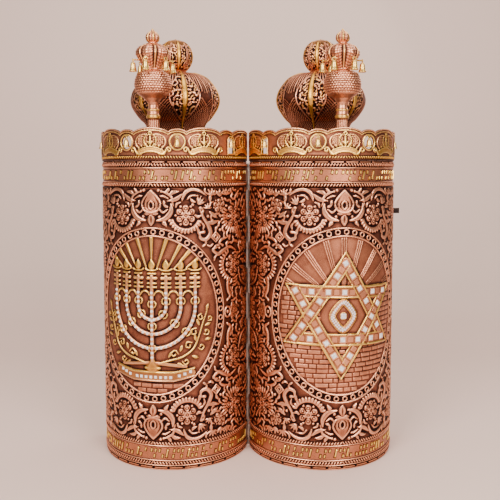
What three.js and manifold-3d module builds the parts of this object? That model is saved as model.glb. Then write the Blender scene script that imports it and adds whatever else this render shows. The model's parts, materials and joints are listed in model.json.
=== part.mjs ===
// An open torah case (tik) of embossed copper, standing on its two half drums.
// Millimetres, +Z up. The halves are hinged along the seam that faces -Y, and stand open.
import * as THREE from 'three';
import { mergeVertices } from 'three/addons/utils/BufferGeometryUtils.js';
import Module from 'manifold-3d';

const wasm = await Module();
wasm.setup();

// Drum
const DRUM_R = 140;
const WALL = 2.5;
const FLOOR_T = 4;
const DECK_Z = 556.5;
const DECK_T = 4;
const RIM_W = 12;
const RIM_T = 2.5;
const FACETS = 40;
const HALF_TURN_AWAY = 12.5;

// Rope bands round the drum: the height of each one's middle
const ROPE_Z = [12.8, 49, 513.4, 549];
const ROPE_H = 7;
const ROPE_RISE = 2.6;

// Medallion
const MEDAL_Z = 281;
const MEDAL_HALF_W = 136.5;
const MEDAL_HALF_H = 159;
const MEDAL_FRAME = 18.5;
const MEDAL_RISE = 2;
const EMBLEM_RISE = 3;
const STAR_R = 114;
const STAR_W = 106.5;
const STAR_BAR = 21;
const BRANCH_PITCH = 25.8;
const BRANCH_W = 7;
const BRANCH_TOP = 300;
const FLAME_TOP = 381;
const STEM_FOOT = 189;

// Gallery
const GALLERY_R = 141.5;
const GALLERY_T = 3;
const GALLERY_Z = 557;
const VALLEY_Z = 606.3;
const BIG_SCALLOP = 8;
const SMALL_SCALLOP = 5.4;
const CROWN_PITCH = 39;
const SMALL_HALF = 6.3;
const WINDOW_Z = 588.5;
const WINDOW_R = 11.7;
const WINDOW_RING = 15;
const ARCH_AT = 63;
const ARCH_Z = [567, 601.5];
const ARCH_HALF = 9.2;
const ARCH_FRAME = 2.6;
const CROWN_RISE = 1.4;
const FOOT_Z = [559.6, 564.6];
const FOOT_RISE = 1.2;

// Dome and finial
const GLOBE_R = 33.4;
const GLOBE_Z = 756;
const RIB_RISE = 1.6;
const FINIAL_AT = 123;
const FINIAL_LOBES = 6;
const LOBE_DEPTH = 0.08;
const RIGHT_FINIAL_TURN = 16;

// Bells and the pegs that their rings hang on
const BELL = { height: 16, mouth: 7, wall: 0.9, ring: 3.3 };
const WINDOW_BELL = { height: 12.5, mouth: 5.6, wall: 0.8, ring: 2.6 };
const RING_WIRE = 0.75;
const PEG_R = 0.9;
const CLEAR = 0.3;
const FINIAL_BELLS = 6;
const BELL_AT = 34.6;
const BELL_PEG_Z = 731;

// Hinge: its axis stands clear of the wall, and of the cut plane by half the closed gap
const AXIS_OUT = 2.8;
const AXIS_BACK = 1;
const KNUCKLES = 11;
const KNUCKLE_R = 2;
const BORE_R = 1.4;
const PIN_R = 1;
const KNUCKLE_GAP = 0.4;
const HINGE_Z = [4, 552];
const LEAF_W = 12;
const LEAF_T = 0.55;

// Latch on the free edges
const LATCH_Z = 459;
const LATCH_H = 11;
const STRAP = 19;
const STRAP_T = 1.4;
const LATCH_PIN_R = 1;
const LATCH_EYE_R = 2.4;
const LATCH_PIN_OUT = 7;
const LATCH_PIN_Y = -4.5;

const copper = metal(0xb97350, 0.38);
const paleGold = metal(0xf0d782, 0.28);
const nickel = metal(0xb9b4ac, 0.35);
const darkIron = metal(0x2a211f, 0.5);

const rad = THREE.MathUtils.degToRad;

function metal(color, roughness) {
  return new THREE.MeshStandardMaterial({ color, roughness, metalness: 1 });
}

// A closed geometry as a solid for cutting and joining
function solid(geometry) {
  const bare = geometry.clone();
  bare.deleteAttribute('normal');
  bare.deleteAttribute('uv');
  const merged = mergeVertices(bare, 1e-4);
  const vertProperties = new Float32Array(merged.attributes.position.array);
  const triVerts = new Uint32Array(merged.index.array);
  return new wasm.Manifold(new wasm.Mesh({ numProp: 3, vertProperties, triVerts }));
}

function named(name, body, material) {
  const result = body.getMesh();
  const geometry = new THREE.BufferGeometry();
  geometry.setAttribute('position', new THREE.BufferAttribute(result.vertProperties, 3));
  geometry.setIndex(new THREE.BufferAttribute(result.triVerts, 1));
  geometry.computeVertexNormals();
  const mesh = new THREE.Mesh(geometry, material);
  mesh.name = name;
  return mesh;
}

const joined = (bodies) => bodies.reduce((whole, body) => whole.add(body));

// A turned solid about +Z from [radius, height] pairs
function turned(profile, facets = FACETS) {
  const points = profile.map(([r, z]) => new THREE.Vector2(r, z));
  const lathe = new THREE.LatheGeometry(points, facets).rotateX(Math.PI / 2);
  return solid(lathe.rotateZ(Math.PI / 2));
}

function block(x0, x1, y0, y1, z0, z1) {
  const box = new THREE.BoxGeometry(x1 - x0, y1 - y0, z1 - z0);
  return solid(box.translate((x0 + x1) / 2, (y0 + y1) / 2, (z0 + z1) / 2));
}

// The half of a turned solid on the -Y side
const halved = (body) => body.intersect(block(-200, 200, -200, 0, -10, 900));

function upright(r, z0, z1, facets = 8) {
  const rod = new THREE.CylinderGeometry(r, r, z1 - z0, facets).rotateX(Math.PI / 2);
  return rod.translate(0, 0, (z0 + z1) / 2);
}

// A round bar that points away from the drum's axis, at an angle from the panel's middle
function radialBar(r, from, to, degrees, z, facets = 24) {
  const bar = new THREE.CylinderGeometry(r, r, to - from, facets).translate(0, -(from + to) / 2, z);
  return bar.rotateZ(rad(degrees));
}

// A flat outline drawn on the panel (arc length, height), pushed out along the panel's normal
function plate(outline, holes = [], near = 40, far = 160) {
  const place = ([s, z]) => new THREE.Vector2(DRUM_R * Math.sin(s / DRUM_R), z);
  const points = outline.map(place);
  if (THREE.ShapeUtils.isClockWise(points)) points.reverse();
  const shape = new THREE.Shape(points);
  shape.holes = holes.map((hole) => new THREE.Path(hole.map(place)));
  const slab = new THREE.ExtrudeGeometry(shape, { depth: far - near, bevelEnabled: false });
  return solid(slab.rotateX(Math.PI / 2).translate(0, -near, 0));
}

// What of a plate lies within a rise above a drum surface
function raised(body, surface, rise) {
  const band = [[surface - 1, -5], [surface + rise, -5], [surface + rise, 700], [surface - 1, 700]];
  return body.intersect(turned([...band, band[0]]));
}

function oval(halfW, halfH, steps = 28) {
  const turns = Array.from({ length: steps }, (_, i) => (2 * Math.PI * i) / steps);
  return turns.map((a) => [halfW * Math.cos(a), MEDAL_Z + halfH * Math.sin(a)]);
}

function bar([s0, z0], [s1, z1], width) {
  const length = Math.hypot(s1 - s0, z1 - z0);
  const [ns, nz] = [(-(z1 - z0) / length) * (width / 2), ((s1 - s0) / length) * (width / 2)];
  return [[s0 - ns, z0 - nz], [s1 - ns, z1 - nz], [s1 + ns, z1 + nz], [s0 + ns, z0 + nz]];
}

// Two crossed triangular frames
function star() {
  const corner = (turn, scale) => {
    const angle = rad(turn);
    return [(STAR_W / 0.866) * scale * Math.sin(angle), MEDAL_Z + STAR_R * scale * Math.cos(angle)];
  };
  const inner = 1 - STAR_BAR / (STAR_R / 2);
  const frame = (turn) => {
    const ring = (scale) => [0, 120, 240].map((step) => corner(turn + step, scale));
    return plate(ring(1), [ring(inner)]);
  };
  return joined([frame(0), frame(180)]);
}

// A seven-branched lamp on a stepped base
function lamp() {
  const parts = [plate(bar([0, STEM_FOOT], [0, FLAME_TOP], BRANCH_W))];
  for (const level of [1, 2, 3]) {
    const r = BRANCH_PITCH * level;
    const turn = (a, radius) => [radius * Math.cos(a), BRANCH_TOP - radius * Math.sin(a)];
    const steps = Array.from({ length: 9 }, (_, i) => (Math.PI * i) / 8);
    const outer = steps.map((a) => turn(a, r + BRANCH_W / 2));
    const inner = steps.map((a) => turn(a, r - BRANCH_W / 2)).reverse();
    parts.push(plate([...outer, ...inner]));
    for (const side of [-1, 1]) {
      parts.push(plate(bar([side * r, BRANCH_TOP - 1], [side * r, FLAME_TOP], BRANCH_W * 1.4)));
    }
  }
  const base = [[-76, STEM_FOOT - 18], [-38, STEM_FOOT - 24], [38, STEM_FOOT - 24], [76, STEM_FOOT - 18]];
  parts.push(plate([...base, [76, STEM_FOOT - 4], [0, STEM_FOOT + 2], [-76, STEM_FOOT - 4]]));
  return joined(parts);
}

function ropeBand(z) {
  const out = DRUM_R + ROPE_RISE;
  const [low, high] = [z - ROPE_H / 2, z + ROPE_H / 2];
  return [[DRUM_R, low], [out, z - ROPE_H / 5], [out, z + ROPE_H / 5], [DRUM_R, high]];
}

// Half drum: wall, floor, deck and the flat rims along its cut edges, open at the cut
function caseHalf(emblem, hingeSide) {
  const side = [[DRUM_R, 0], ...ROPE_Z.flatMap(ropeBand), [DRUM_R, DECK_Z]];
  const drum = halved(turned([[0, 0], ...side, [0, DECK_Z]]));
  const [floor, roof] = [FLOOR_T, DECK_Z - DECK_T];
  const bore = DRUM_R - WALL;
  const hollow = turned([[0, floor], [bore, floor], [bore, roof], [0, roof]]);
  const behindRims = hollow.intersect(block(-200, 200, -200, -RIM_T, 0, 600));
  const mouth = block(-DRUM_R + RIM_W, DRUM_R - RIM_W, -RIM_T - 1, 1, floor, roof);
  const frame = plate(
    oval(MEDAL_HALF_W, MEDAL_HALF_H),
    [oval(MEDAL_HALF_W - MEDAL_FRAME, MEDAL_HALF_H - MEDAL_FRAME)],
  );
  const hingeRelief = hingeSide > 0
    ? block(DRUM_R, DRUM_R + 5, -2, 1, -1, 600)
    : block(-DRUM_R - 5, -DRUM_R, -2, 1, -1, 600);
  return drum
    .add(raised(frame, DRUM_R, MEDAL_RISE))
    .add(raised(emblem, DRUM_R, EMBLEM_RISE))
    .subtract(behindRims)
    .subtract(mouth)
    .subtract(hingeRelief);
}

// Height of the gallery's scalloped edge at an angle from the panel's middle
function scallop(degrees) {
  const fromCrown = ((degrees % CROWN_PITCH) + CROWN_PITCH * 1.5) % CROWN_PITCH - CROWN_PITCH / 2;
  const fromWindow = CROWN_PITCH / 2 - Math.abs(fromCrown);
  const bigHalf = CROWN_PITCH / 2 - SMALL_HALF;
  const arch = (t) => Math.sqrt(Math.max(0, 1 - t * t * 0.9)) - Math.sqrt(0.1);
  if (fromWindow < SMALL_HALF) return VALLEY_Z + (SMALL_SCALLOP * arch(fromWindow / SMALL_HALF)) / arch(0);
  return VALLEY_Z + (BIG_SCALLOP * arch(fromCrown / bigHalf)) / arch(0);
}

// Half ring with a scalloped upper edge
function galleryWall() {
  const steps = 40;
  const positions = [];
  const index = [];
  for (let i = 0; i <= steps; i++) {
    const degrees = -90 + (180 * i) / steps;
    const [sin, cos] = [Math.sin(rad(degrees)), Math.cos(rad(degrees))];
    const top = scallop(degrees);
    const inner = GALLERY_R - GALLERY_T;
    const section = [[inner, GALLERY_Z], [GALLERY_R, GALLERY_Z], [GALLERY_R, top], [inner, top]];
    for (const [r, z] of section) positions.push(r * sin, -r * cos, z);
  }
  const quad = (a, b, c, d) => index.push(a, b, c, a, c, d);
  for (let i = 0; i < steps; i++) {
    for (let k = 0; k < 4; k++) {
      const next = (k + 1) % 4;
      quad(4 * i + k, 4 * i + 4 + k, 4 * i + 4 + next, 4 * i + next);
    }
  }
  quad(0, 1, 2, 3);
  const end = 4 * steps;
  quad(end + 3, end + 2, end + 1, end);
  const geometry = new THREE.BufferGeometry();
  geometry.setAttribute('position', new THREE.Float32BufferAttribute(positions, 3));
  geometry.setIndex(index);
  return solid(geometry);
}

// Arched outline centred on the panel
function archOutline(half, low, high) {
  const spring = high - half;
  const turn = Array.from({ length: 5 }, (_, i) => (Math.PI * i) / 4);
  return [[-half, low], [half, low], ...turn.map((a) => [half * Math.cos(a), spring + half * Math.sin(a)])];
}

function crownOutline() {
  const side = [[0, 577], [20, 576], [27.5, 589], [22, 600], [3.5, 601.5], [3, 607]];
  return [...side, ...side.slice(1).reverse().map(([s, z]) => [-s, z])];
}

const windowAngles = () => [-ARCH_AT, -CROWN_PITCH / 2, CROWN_PITCH / 2, ARCH_AT];

// The peg in the top of a gallery window that its bell's ring hangs on
function windowPeg(degrees) {
  const isArch = Math.abs(degrees) === ARCH_AT;
  const top = isArch ? ARCH_Z[1] - ARCH_FRAME : WINDOW_Z + WINDOW_R;
  return { degrees, z: top - 3.6, top };
}

function gallery(hingeSide) {
  let body = galleryWall();
  const turn = (b, degrees) => b.rotate([0, 0, degrees]);
  const [inner, outer] = [DRUM_R - 1, GALLERY_R + FOOT_RISE];
  const foot = [[inner, FOOT_Z[0]], [outer, FOOT_Z[0]], [outer, FOOT_Z[1]], [inner, FOOT_Z[1]]];
  body = body.add(halved(turned([...foot, foot[0]])));
  for (const step of [-2, -1, 0, 1, 2]) {
    body = body.add(turn(raised(plate(crownOutline()), GALLERY_R, CROWN_RISE), step * CROWN_PITCH));
  }
  for (const degrees of windowAngles()) {
    if (Math.abs(degrees) === ARCH_AT) {
      const frame = plate(archOutline(ARCH_HALF, ...ARCH_Z));
      const [low, high] = [ARCH_Z[0] + ARCH_FRAME, ARCH_Z[1] - ARCH_FRAME];
      const hole = plate(archOutline(ARCH_HALF - ARCH_FRAME, low, high));
      body = body.add(turn(raised(frame, GALLERY_R, CROWN_RISE), degrees)).subtract(turn(hole, degrees));
    } else {
      const ring = radialBar(WINDOW_RING, GALLERY_R - 1.5, GALLERY_R + CROWN_RISE, degrees, WINDOW_Z, 12);
      const hole = radialBar(WINDOW_R, GALLERY_R - 10, GALLERY_R + 10, degrees, WINDOW_Z, 12);
      body = body.add(solid(ring)).subtract(solid(hole));
    }
    const peg = windowPeg(degrees);
    const [back, front] = [GALLERY_R - GALLERY_T + 0.2, GALLERY_R - 1];
    body = body.add(turn(block(-0.8, 0.8, -front, -back, peg.z - PEG_R, peg.top + 1), degrees));
    body = body.add(solid(radialBar(PEG_R, back, GALLERY_R + 2, degrees, peg.z, 5)));
  }
  const relief = hingeSide > 0
    ? block(DRUM_R + 2, 160, -4, 1, 550, 620)
    : block(-160, -DRUM_R - 2, -4, 1, 550, 620);
  return body.intersect(block(-200, 200, -200, 0, 550, 620)).subtract(relief);
}

// Outer profile of the dome and the small globe above it
function domeOutline() {
  const foot = [[62, 557], [62, 563], [50, 572], [50, 606]];
  const bulb = [[58.5, 628], [76.6, 648.5], [86, 672.5], [82.2, 687.5], [61.6, 714], [44, 722.5]];
  const neck = [[19.5, 726], [19.5, 728]];
  const swell = (a) => [GLOBE_R * Math.cos(rad(a)), GLOBE_Z + GLOBE_R * Math.sin(rad(a))];
  const globe = [-50, -15, 15, 45, 68].map(swell);
  return [...foot, ...bulb, ...neck, ...globe];
}

// A turned shape whose facets crowd in at every sixth of the turn, where a rib stands proud
function ribbedTurn(profile) {
  const columns = [0, 3.7, 4.4, 17, 30, 43, 55.6, 56.3, 60];
  const proud = [0, 1, 7, 8];
  const sector = 60;
  const step = sector / (columns.length - 1);
  const points = profile.map(([r, z]) => new THREE.Vector2(r, z));
  const lathe = new THREE.LatheGeometry(points, 360 / step).rotateX(Math.PI / 2);
  const position = lathe.attributes.position;
  for (let i = 0; i < position.count; i++) {
    const r = Math.hypot(position.getX(i), position.getY(i));
    if (r < 1) continue;
    const evenly = THREE.MathUtils.radToDeg(Math.atan2(position.getX(i), -position.getY(i))) + 30;
    const past = THREE.MathUtils.euclideanModulo(evenly + 1e-3, sector);
    const column = Math.round(past / step);
    const angle = rad(Math.round(evenly + 1e-3 - past) + columns[column] - 30);
    const grown = r + (proud.includes(column) && position.getZ(i) > 610 ? RIB_RISE : 0);
    position.setXY(i, grown * Math.sin(angle), -grown * Math.cos(angle));
  }
  return solid(lathe);
}

// Half shell with gilt ribs, the outermost two cut in half
function dome() {
  const skin = ribbedTurn([[0, 557], ...domeOutline(), [0, 791]]);
  const bulb = [[47, 606], [55, 628], [72.5, 648.5], [82, 672.5], [70, 701.5], [40, 718]];
  const globe = [[16, 724.5], [16, 731], [25, 740], [29, 757], [22, 776]];
  const hollow = turned([[0, 556], [47, 556], ...bulb, ...globe, [0, 785]], 24);
  return halved(skin.subtract(hollow));
}

// Finial: stem, turned knops, studded globe, crown of six lobes and a ball
function finial() {
  const stem = [[10, 557], [10, 630], [12.2, 631.5], [12.2, 635.5], [8.1, 640], [8.1, 654]];
  const globe = [[25, 671], [32.4, 687], [30, 700], [24.6, 710]];
  const crown = [[15.6, 713.5], [18, 723], [29.5, 739], [27, 751], [7.5, 760]];
  const ball = [[12.8, 769], [9.5, 777], [2, 784]];
  const profile = [[0, 557], ...stem, ...globe, ...crown, ...ball, [0, 786.2]];
  const points = profile.map(([r, z]) => new THREE.Vector2(r, z));
  const lathe = new THREE.LatheGeometry(points, FINIAL_LOBES * 3).rotateX(Math.PI / 2);
  const position = lathe.attributes.position;
  for (let i = 0; i < position.count; i++) {
    const angle = Math.atan2(position.getX(i), -position.getY(i));
    const crowned = position.getZ(i) > 718 && position.getZ(i) < 758;
    const inward = crowned ? LOBE_DEPTH * Math.sin((FINIAL_LOBES * angle) / 2) ** 2 : 0;
    position.setX(i, position.getX(i) * (1 - inward));
    position.setY(i, position.getY(i) * (1 - inward));
  }
  const peg = (degrees) => solid(radialBar(PEG_R, 20, BELL_AT + 1.6, degrees, BELL_PEG_Z, 5));
  const pegs = bellAngles().map(peg);
  return joined([solid(lathe), ...pegs]);
}

const bellAngles = () => Array.from({ length: FINIAL_BELLS }, (_, i) => (i * 360) / FINIAL_BELLS);

// A bell open below, with its ring on top, hanging from a peg at the origin
function bell({ height, mouth, wall, ring }) {
  const hang = -(ring - RING_WIRE - PEG_R - CLEAR);
  const top = hang - ring;
  const [lip, shoulder] = [top - height, top - height * 0.2];
  const skirt = [[mouth - wall, lip], [mouth, lip], [mouth * 0.5, shoulder]];
  const profile = [[0, shoulder - wall], ...skirt, [0, top]];
  const wire = new THREE.TorusGeometry(ring, RING_WIRE, 3, 6).rotateZ(Math.PI / 6);
  const loop = wire.rotateX(Math.PI / 2).translate(0, 0, hang);
  return turned(profile, 6).add(solid(loop));
}

function bellMesh(name, shape, at, z, degrees) {
  const mesh = named(name, bell(shape), paleGold);
  mesh.position.set(at * Math.sin(rad(degrees)), -at * Math.cos(rad(degrees)), z);
  mesh.rotation.z = rad(degrees);
  return mesh;
}

// Hinge leaf on the rim, with every other knuckle of the barrel
function hingeLeaf(hingeSide, first) {
  const [low, high] = HINGE_Z;
  const pitch = (high - low) / KNUCKLES;
  const inner = DRUM_R - LEAF_W;
  const outer = DRUM_R + 0.4;
  const parts = [block(inner, outer, CLEAR, CLEAR + LEAF_T, low, high)];
  for (let k = first; k < KNUCKLES; k += 2) {
    const [from, to] = [low + k * pitch + KNUCKLE_GAP / 2, low + (k + 1) * pitch - KNUCKLE_GAP / 2];
    const knuckle = solid(upright(KNUCKLE_R, from, to)).subtract(solid(upright(BORE_R, from - 1, to + 1)));
    const tab = block(outer - 1, DRUM_R + AXIS_OUT - BORE_R - 0.1, CLEAR, CLEAR + LEAF_T, from, to);
    parts.push(knuckle.translate([DRUM_R + AXIS_OUT, AXIS_BACK, 0]), tab);
  }
  const leaf = joined(parts);
  return hingeSide > 0 ? leaf : leaf.mirror([1, 0, 0]);
}

// Latch: a plate with two eyes on the right half, a hooked strap on its pin, a catch on the left
function latchPlate() {
  const [low, high] = [LATCH_Z - LATCH_H, LATCH_Z + LATCH_H];
  const base = block(DRUM_R + 2.8, DRUM_R + 4.2, -14, LATCH_PIN_Y + LATCH_EYE_R, low, high);
  const eye = (z0, z1) => {
    const bore = solid(upright(LATCH_PIN_R + CLEAR, z0 - 1, z1 + 1));
    const tube = solid(upright(LATCH_EYE_R, z0, z1)).subtract(bore);
    const lug = block(3.5 - LATCH_PIN_OUT, -1.5, -1.8, 1.8, z0, z1);
    return tube.add(lug).translate([DRUM_R + LATCH_PIN_OUT, LATCH_PIN_Y, 0]);
  };
  return joined([base, eye(low, LATCH_Z - LATCH_H / 2), eye(LATCH_Z + LATCH_H / 2, high)]);
}

function latchStrap() {
  const half = LATCH_H / 2 - CLEAR;
  const pin = solid(upright(LATCH_PIN_R, -LATCH_H - 0.6, LATCH_H + 0.6));
  const eye = solid(upright(LATCH_EYE_R, -half, half));
  const strap = block(1, STRAP, -STRAP_T / 2, STRAP_T / 2, -half, half);
  const hook = block(STRAP - STRAP_T, STRAP, 0, 4.2, -half, half);
  return joined([pin, eye, strap, hook]);
}

function latchCatch() {
  const half = LATCH_H / 2;
  return block(-DRUM_R - 5.6, -DRUM_R - 2.8, -10.5, -6.5, LATCH_Z - half, LATCH_Z + half);
}

// One half in its own frame: panel normal along -Y, hinge edge towards hingeSide * X
function half(side, hingeSide, emblem) {
  const group = new THREE.Group();
  group.add(named(`${side}_case`, caseHalf(emblem, hingeSide), copper));
  group.add(named(`${side}_gallery`, gallery(hingeSide), copper));
  group.add(named(`${side}_dome`, dome(), copper));
  const stand = new THREE.Group();
  stand.position.y = -FINIAL_AT;
  stand.rotation.z = hingeSide > 0 ? 0 : rad(RIGHT_FINIAL_TURN);
  stand.add(named(`${side}_finial`, finial(), copper));
  bellAngles().forEach((degrees, i) => {
    stand.add(bellMesh(`${side}_finial_bell_${i + 1}`, BELL, BELL_AT, BELL_PEG_Z, degrees));
  });
  group.add(stand);
  windowAngles().forEach((degrees, i) => {
    const peg = windowPeg(degrees);
    group.add(bellMesh(`${side}_window_bell_${i + 1}`, WINDOW_BELL, GALLERY_R + 0.4, peg.z, degrees));
  });
  group.add(named(`${side}_hinge_leaf`, hingeLeaf(hingeSide, hingeSide > 0 ? 0 : 1), nickel));
  const turn = -hingeSide * rad(HALF_TURN_AWAY);
  const axis = new THREE.Vector3(hingeSide * (DRUM_R + AXIS_OUT), AXIS_BACK, 0);
  group.rotation.z = turn;
  group.position.copy(axis.applyAxisAngle(new THREE.Vector3(0, 0, 1), turn).negate());
  return group;
}

function build() {
  const left = half('left', 1, lamp());
  const right = half('right', -1, star());
  left.add(named('latch_catch', latchCatch(), darkIron));
  right.add(named('latch_plate', latchPlate(), darkIron));
  const strap = named('latch_strap', latchStrap(), darkIron);
  strap.position.set(DRUM_R + LATCH_PIN_OUT, LATCH_PIN_Y, LATCH_Z);
  right.add(strap);
  const [low, high] = HINGE_Z;
  const pin = named('hinge_pin', solid(upright(PIN_R, low - 1, high + 1)), nickel);
  return new THREE.Group().add(left, right, pin);
}

// The origin is the middle of the underside
function standAtOrigin(model) {
  model.updateMatrixWorld(true);
  const box = new THREE.Box3().setFromObject(model, true);
  const middle = box.getCenter(new THREE.Vector3());
  model.position.set(-middle.x, -middle.y, -box.min.z);
  return new THREE.Group().add(model);
}

export default standAtOrigin(build());
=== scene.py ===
import json
import math

import bpy
import numpy as np
from mathutils import Matrix


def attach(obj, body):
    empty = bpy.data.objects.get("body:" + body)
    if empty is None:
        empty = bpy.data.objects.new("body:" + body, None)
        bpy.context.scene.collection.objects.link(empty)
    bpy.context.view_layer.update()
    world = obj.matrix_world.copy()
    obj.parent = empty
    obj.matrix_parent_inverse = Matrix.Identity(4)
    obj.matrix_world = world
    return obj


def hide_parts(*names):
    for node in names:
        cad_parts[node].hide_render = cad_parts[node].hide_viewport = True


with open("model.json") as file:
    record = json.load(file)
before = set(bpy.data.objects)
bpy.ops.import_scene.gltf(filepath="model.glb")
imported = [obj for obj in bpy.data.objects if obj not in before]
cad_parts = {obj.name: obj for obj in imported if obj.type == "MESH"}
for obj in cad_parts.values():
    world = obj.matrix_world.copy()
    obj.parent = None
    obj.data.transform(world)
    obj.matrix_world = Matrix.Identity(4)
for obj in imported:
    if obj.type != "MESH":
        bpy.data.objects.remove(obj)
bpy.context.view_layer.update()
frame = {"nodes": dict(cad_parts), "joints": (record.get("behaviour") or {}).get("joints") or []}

# --- Studio -------------------------------------------------------------------------------
# A pale paper sweep that runs from under the case up behind it, two broad soft lights in
# front, one overhead and a weak one behind. The camera looks slightly down from 1.25 m.


def colour(code):
    """An sRGB hex code as linear light"""
    parts = [int(code[i : i + 2], 16) / 255 for i in (1, 3, 5)]
    linear = [p / 12.92 if p <= 0.04045 else ((p + 0.055) / 1.055) ** 2.4 for p in parts]
    return (*linear, 1.0)


def node(tree, kind, inputs=None, **settings):
    """Adds a node with its settings. An input is a value, or the output socket it is fed from."""
    made = tree.nodes.new(kind)
    for setting, value in settings.items():
        setattr(made, setting, value)
    for socket, value in (inputs or {}).items():
        if isinstance(value, bpy.types.NodeSocket):
            tree.links.new(value, made.inputs[socket])
        else:
            made.inputs[socket].default_value = value
    return made


def add_object(name, data):
    made = bpy.data.objects.new(name, data)
    bpy.context.scene.collection.objects.link(made)
    return made


def new_material(name):
    made = bpy.data.materials.new(name)
    made.use_nodes = True
    made.node_tree.nodes.clear()
    return made, made.node_tree


def ramp(tree, level, stops):
    """A colour for a level from 0 to 1, between stops that each have a position and a hex code"""
    made = node(tree, "ShaderNodeValToRGB", {"Fac": level})
    for _ in stops[2:]:
        made.color_ramp.elements.new(0.5)
    for stop, (position, code) in zip(made.color_ramp.elements, stops):
        stop.position = position
        stop.color = colour(code)
    return made.outputs["Color"]


def surface(tree, tone, roughness, bump, metallic=1.0):
    """Ends a material: its base colour, its roughness and its bump"""
    skin = node(tree, "ShaderNodeBsdfPrincipled", {
        "Base Color": tone, "Metallic": metallic, "Roughness": roughness, "Normal": bump.outputs["Normal"],
    })
    node(tree, "ShaderNodeOutputMaterial", {"Surface": skin.outputs["BSDF"]})


def matt_paper():
    """Matt backdrop paper: even, with the faintest tooth"""
    made, tree = new_material("matt_paper")
    grain = node(tree, "ShaderNodeTexNoise", {"Scale": 300.0})
    bump = node(tree, "ShaderNodeBump", {"Height": grain.outputs["Fac"], "Strength": 0.02})
    surface(tree, colour("#DEC6BC"), 0.55, bump, metallic=0.0)
    return made


SWEEP_HALF_WIDTH = 3.0
SWEEP_SIDE = [(-1.9, 0.0), (0.7, 0.0), (0.95, 0.03), (1.15, 0.12), (1.28, 0.3), (1.32, 0.6), (1.32, 2.6)]
sweep_mesh = bpy.data.meshes.new("paper_sweep")
sweep_mesh.from_pydata(
    [(x, y, z) for y, z in SWEEP_SIDE for x in (-SWEEP_HALF_WIDTH, SWEEP_HALF_WIDTH)], [],
    [(2 * i, 2 * i + 1, 2 * i + 3, 2 * i + 2) for i in range(len(SWEEP_SIDE) - 1)],
)
sweep_mesh.shade_smooth()
sweep_mesh.materials.append(matt_paper())
sweep = add_object("paper_sweep", sweep_mesh)

lens = bpy.data.cameras.new("camera")
lens.lens = 48.3
lens.sensor_width = 36.0
lens.shift_y = -0.06
camera = add_object("camera", lens)
camera.location = (-0.00196, -1.2507, 0.5378)
camera.rotation_euler = (math.radians(90 - 4.17), 0.0, 0.0028)
bpy.context.scene.camera = camera

world = bpy.data.worlds.new("studio")
world.use_nodes = True
sky = world.node_tree.nodes["Background"]
sky.inputs["Color"].default_value = colour("#F2E9E4")
sky.inputs["Strength"].default_value = 0.32
bpy.context.scene.world = world

LIGHTS = [
    ("front_left", (-1.1, -1.9, 1.5), (62, 0, -30), (1.1, 1.6), 70),
    ("front_right", (1.1, -1.9, 1.3), (66, 0, 30), (1.1, 1.6), 60),
    ("overhead", (0.0, -0.2, 2.3), (5, 0, 0), (1.8, 1.2), 24),
    ("behind", (0.9, 0.9, 1.5), (-70, 0, -35), (0.8, 0.8), 8),
]
for name, at, turn, size, watts in LIGHTS:
    lamp = bpy.data.lights.new(name, "AREA")
    lamp.shape = "RECTANGLE"
    lamp.size, lamp.size_y = size
    lamp.energy = watts
    lamp.color = colour("#FFF6EE")[:3]
    stand = add_object(name, lamp)
    stand.location = at
    stand.rotation_euler = [math.radians(a) for a in turn]

# --- Drums --------------------------------------------------------------------------------
# Each half drum is a lining of plain copper sheet: wall, floor, deck and the flat rims along
# its cut edges. The embossed sheets are wrapped round it and pinned at the rims.

MM = 0.001
DRUM_R = 140.0
DECK_Z = 556.5
HALF_TURN = math.radians(12.5)
HINGE_OUT = 2.8
HINGE_BACK = 1.0

hinge = next(j for j in frame["joints"] if j["name"] == "case_hinge")
hinge_at = np.array(hinge["pos_m"][:2]) / MM
# For each half: where its drum's axis stands in plan, its turn, and the side its hinge is on
HALVES = {}
for side, toward in (("left", 1), ("right", -1)):
    turn = -toward * HALF_TURN
    out, back = toward * (DRUM_R + HINGE_OUT), HINGE_BACK
    cos, sin = math.cos(turn), math.sin(turn)
    centre = hinge_at - [out * cos - back * sin, out * sin + back * cos]
    HALVES[side] = (centre, turn, toward)


def placed(side, x, y, z):
    """Points of a half, in mm from its drum's axis with the panel facing -Y, as metres in the frame"""
    centre, turn, _ = HALVES[side]
    x, y, z = (np.ravel(a) for a in np.broadcast_arrays(x, y, z))
    cos, sin = math.cos(turn), math.sin(turn)
    return np.stack([centre[0] + x * cos - y * sin, centre[1] + x * sin + y * cos, z], -1) * MM


def round_axis(side, r, angle, z):
    """Points at a radius and an angle from the panel's middle"""
    return placed(side, r * np.sin(angle), -r * np.cos(angle), z)


def piece(name, body, co, quads, material, polygons=(), layers=None, replaces=(), smooth=True):
    """A mesh from vertices, quads and a few larger polygons, riding on its body"""
    mesh = bpy.data.meshes.new(name)
    quads = np.asarray(quads, int).reshape(-1, 4)
    sizes = np.array([4] * len(quads) + [len(p) for p in polygons], int)
    corners = np.concatenate([quads.ravel(), *[np.asarray(p, int) for p in polygons]]).astype(int)
    mesh.vertices.add(len(co))
    mesh.vertices.foreach_set("co", np.asarray(co, np.float32).ravel())
    mesh.loops.add(len(corners))
    mesh.loops.foreach_set("vertex_index", corners)
    mesh.polygons.add(len(sizes))
    mesh.polygons.foreach_set("loop_start", np.concatenate([[0], np.cumsum(sizes)[:-1]]))
    mesh.update(calc_edges=True)
    for layer, values in (layers or {}).items():
        made = mesh.attributes.new(layer, "FLOAT", "POINT")
        made.data.foreach_set("value", np.asarray(values, np.float32).ravel())
    mesh.materials.append(material)
    if smooth:
        mesh.shade_smooth()
    obj = add_object(name, mesh)
    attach(obj, body)
    if replaces:
        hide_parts(*replaces)
    return obj


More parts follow.
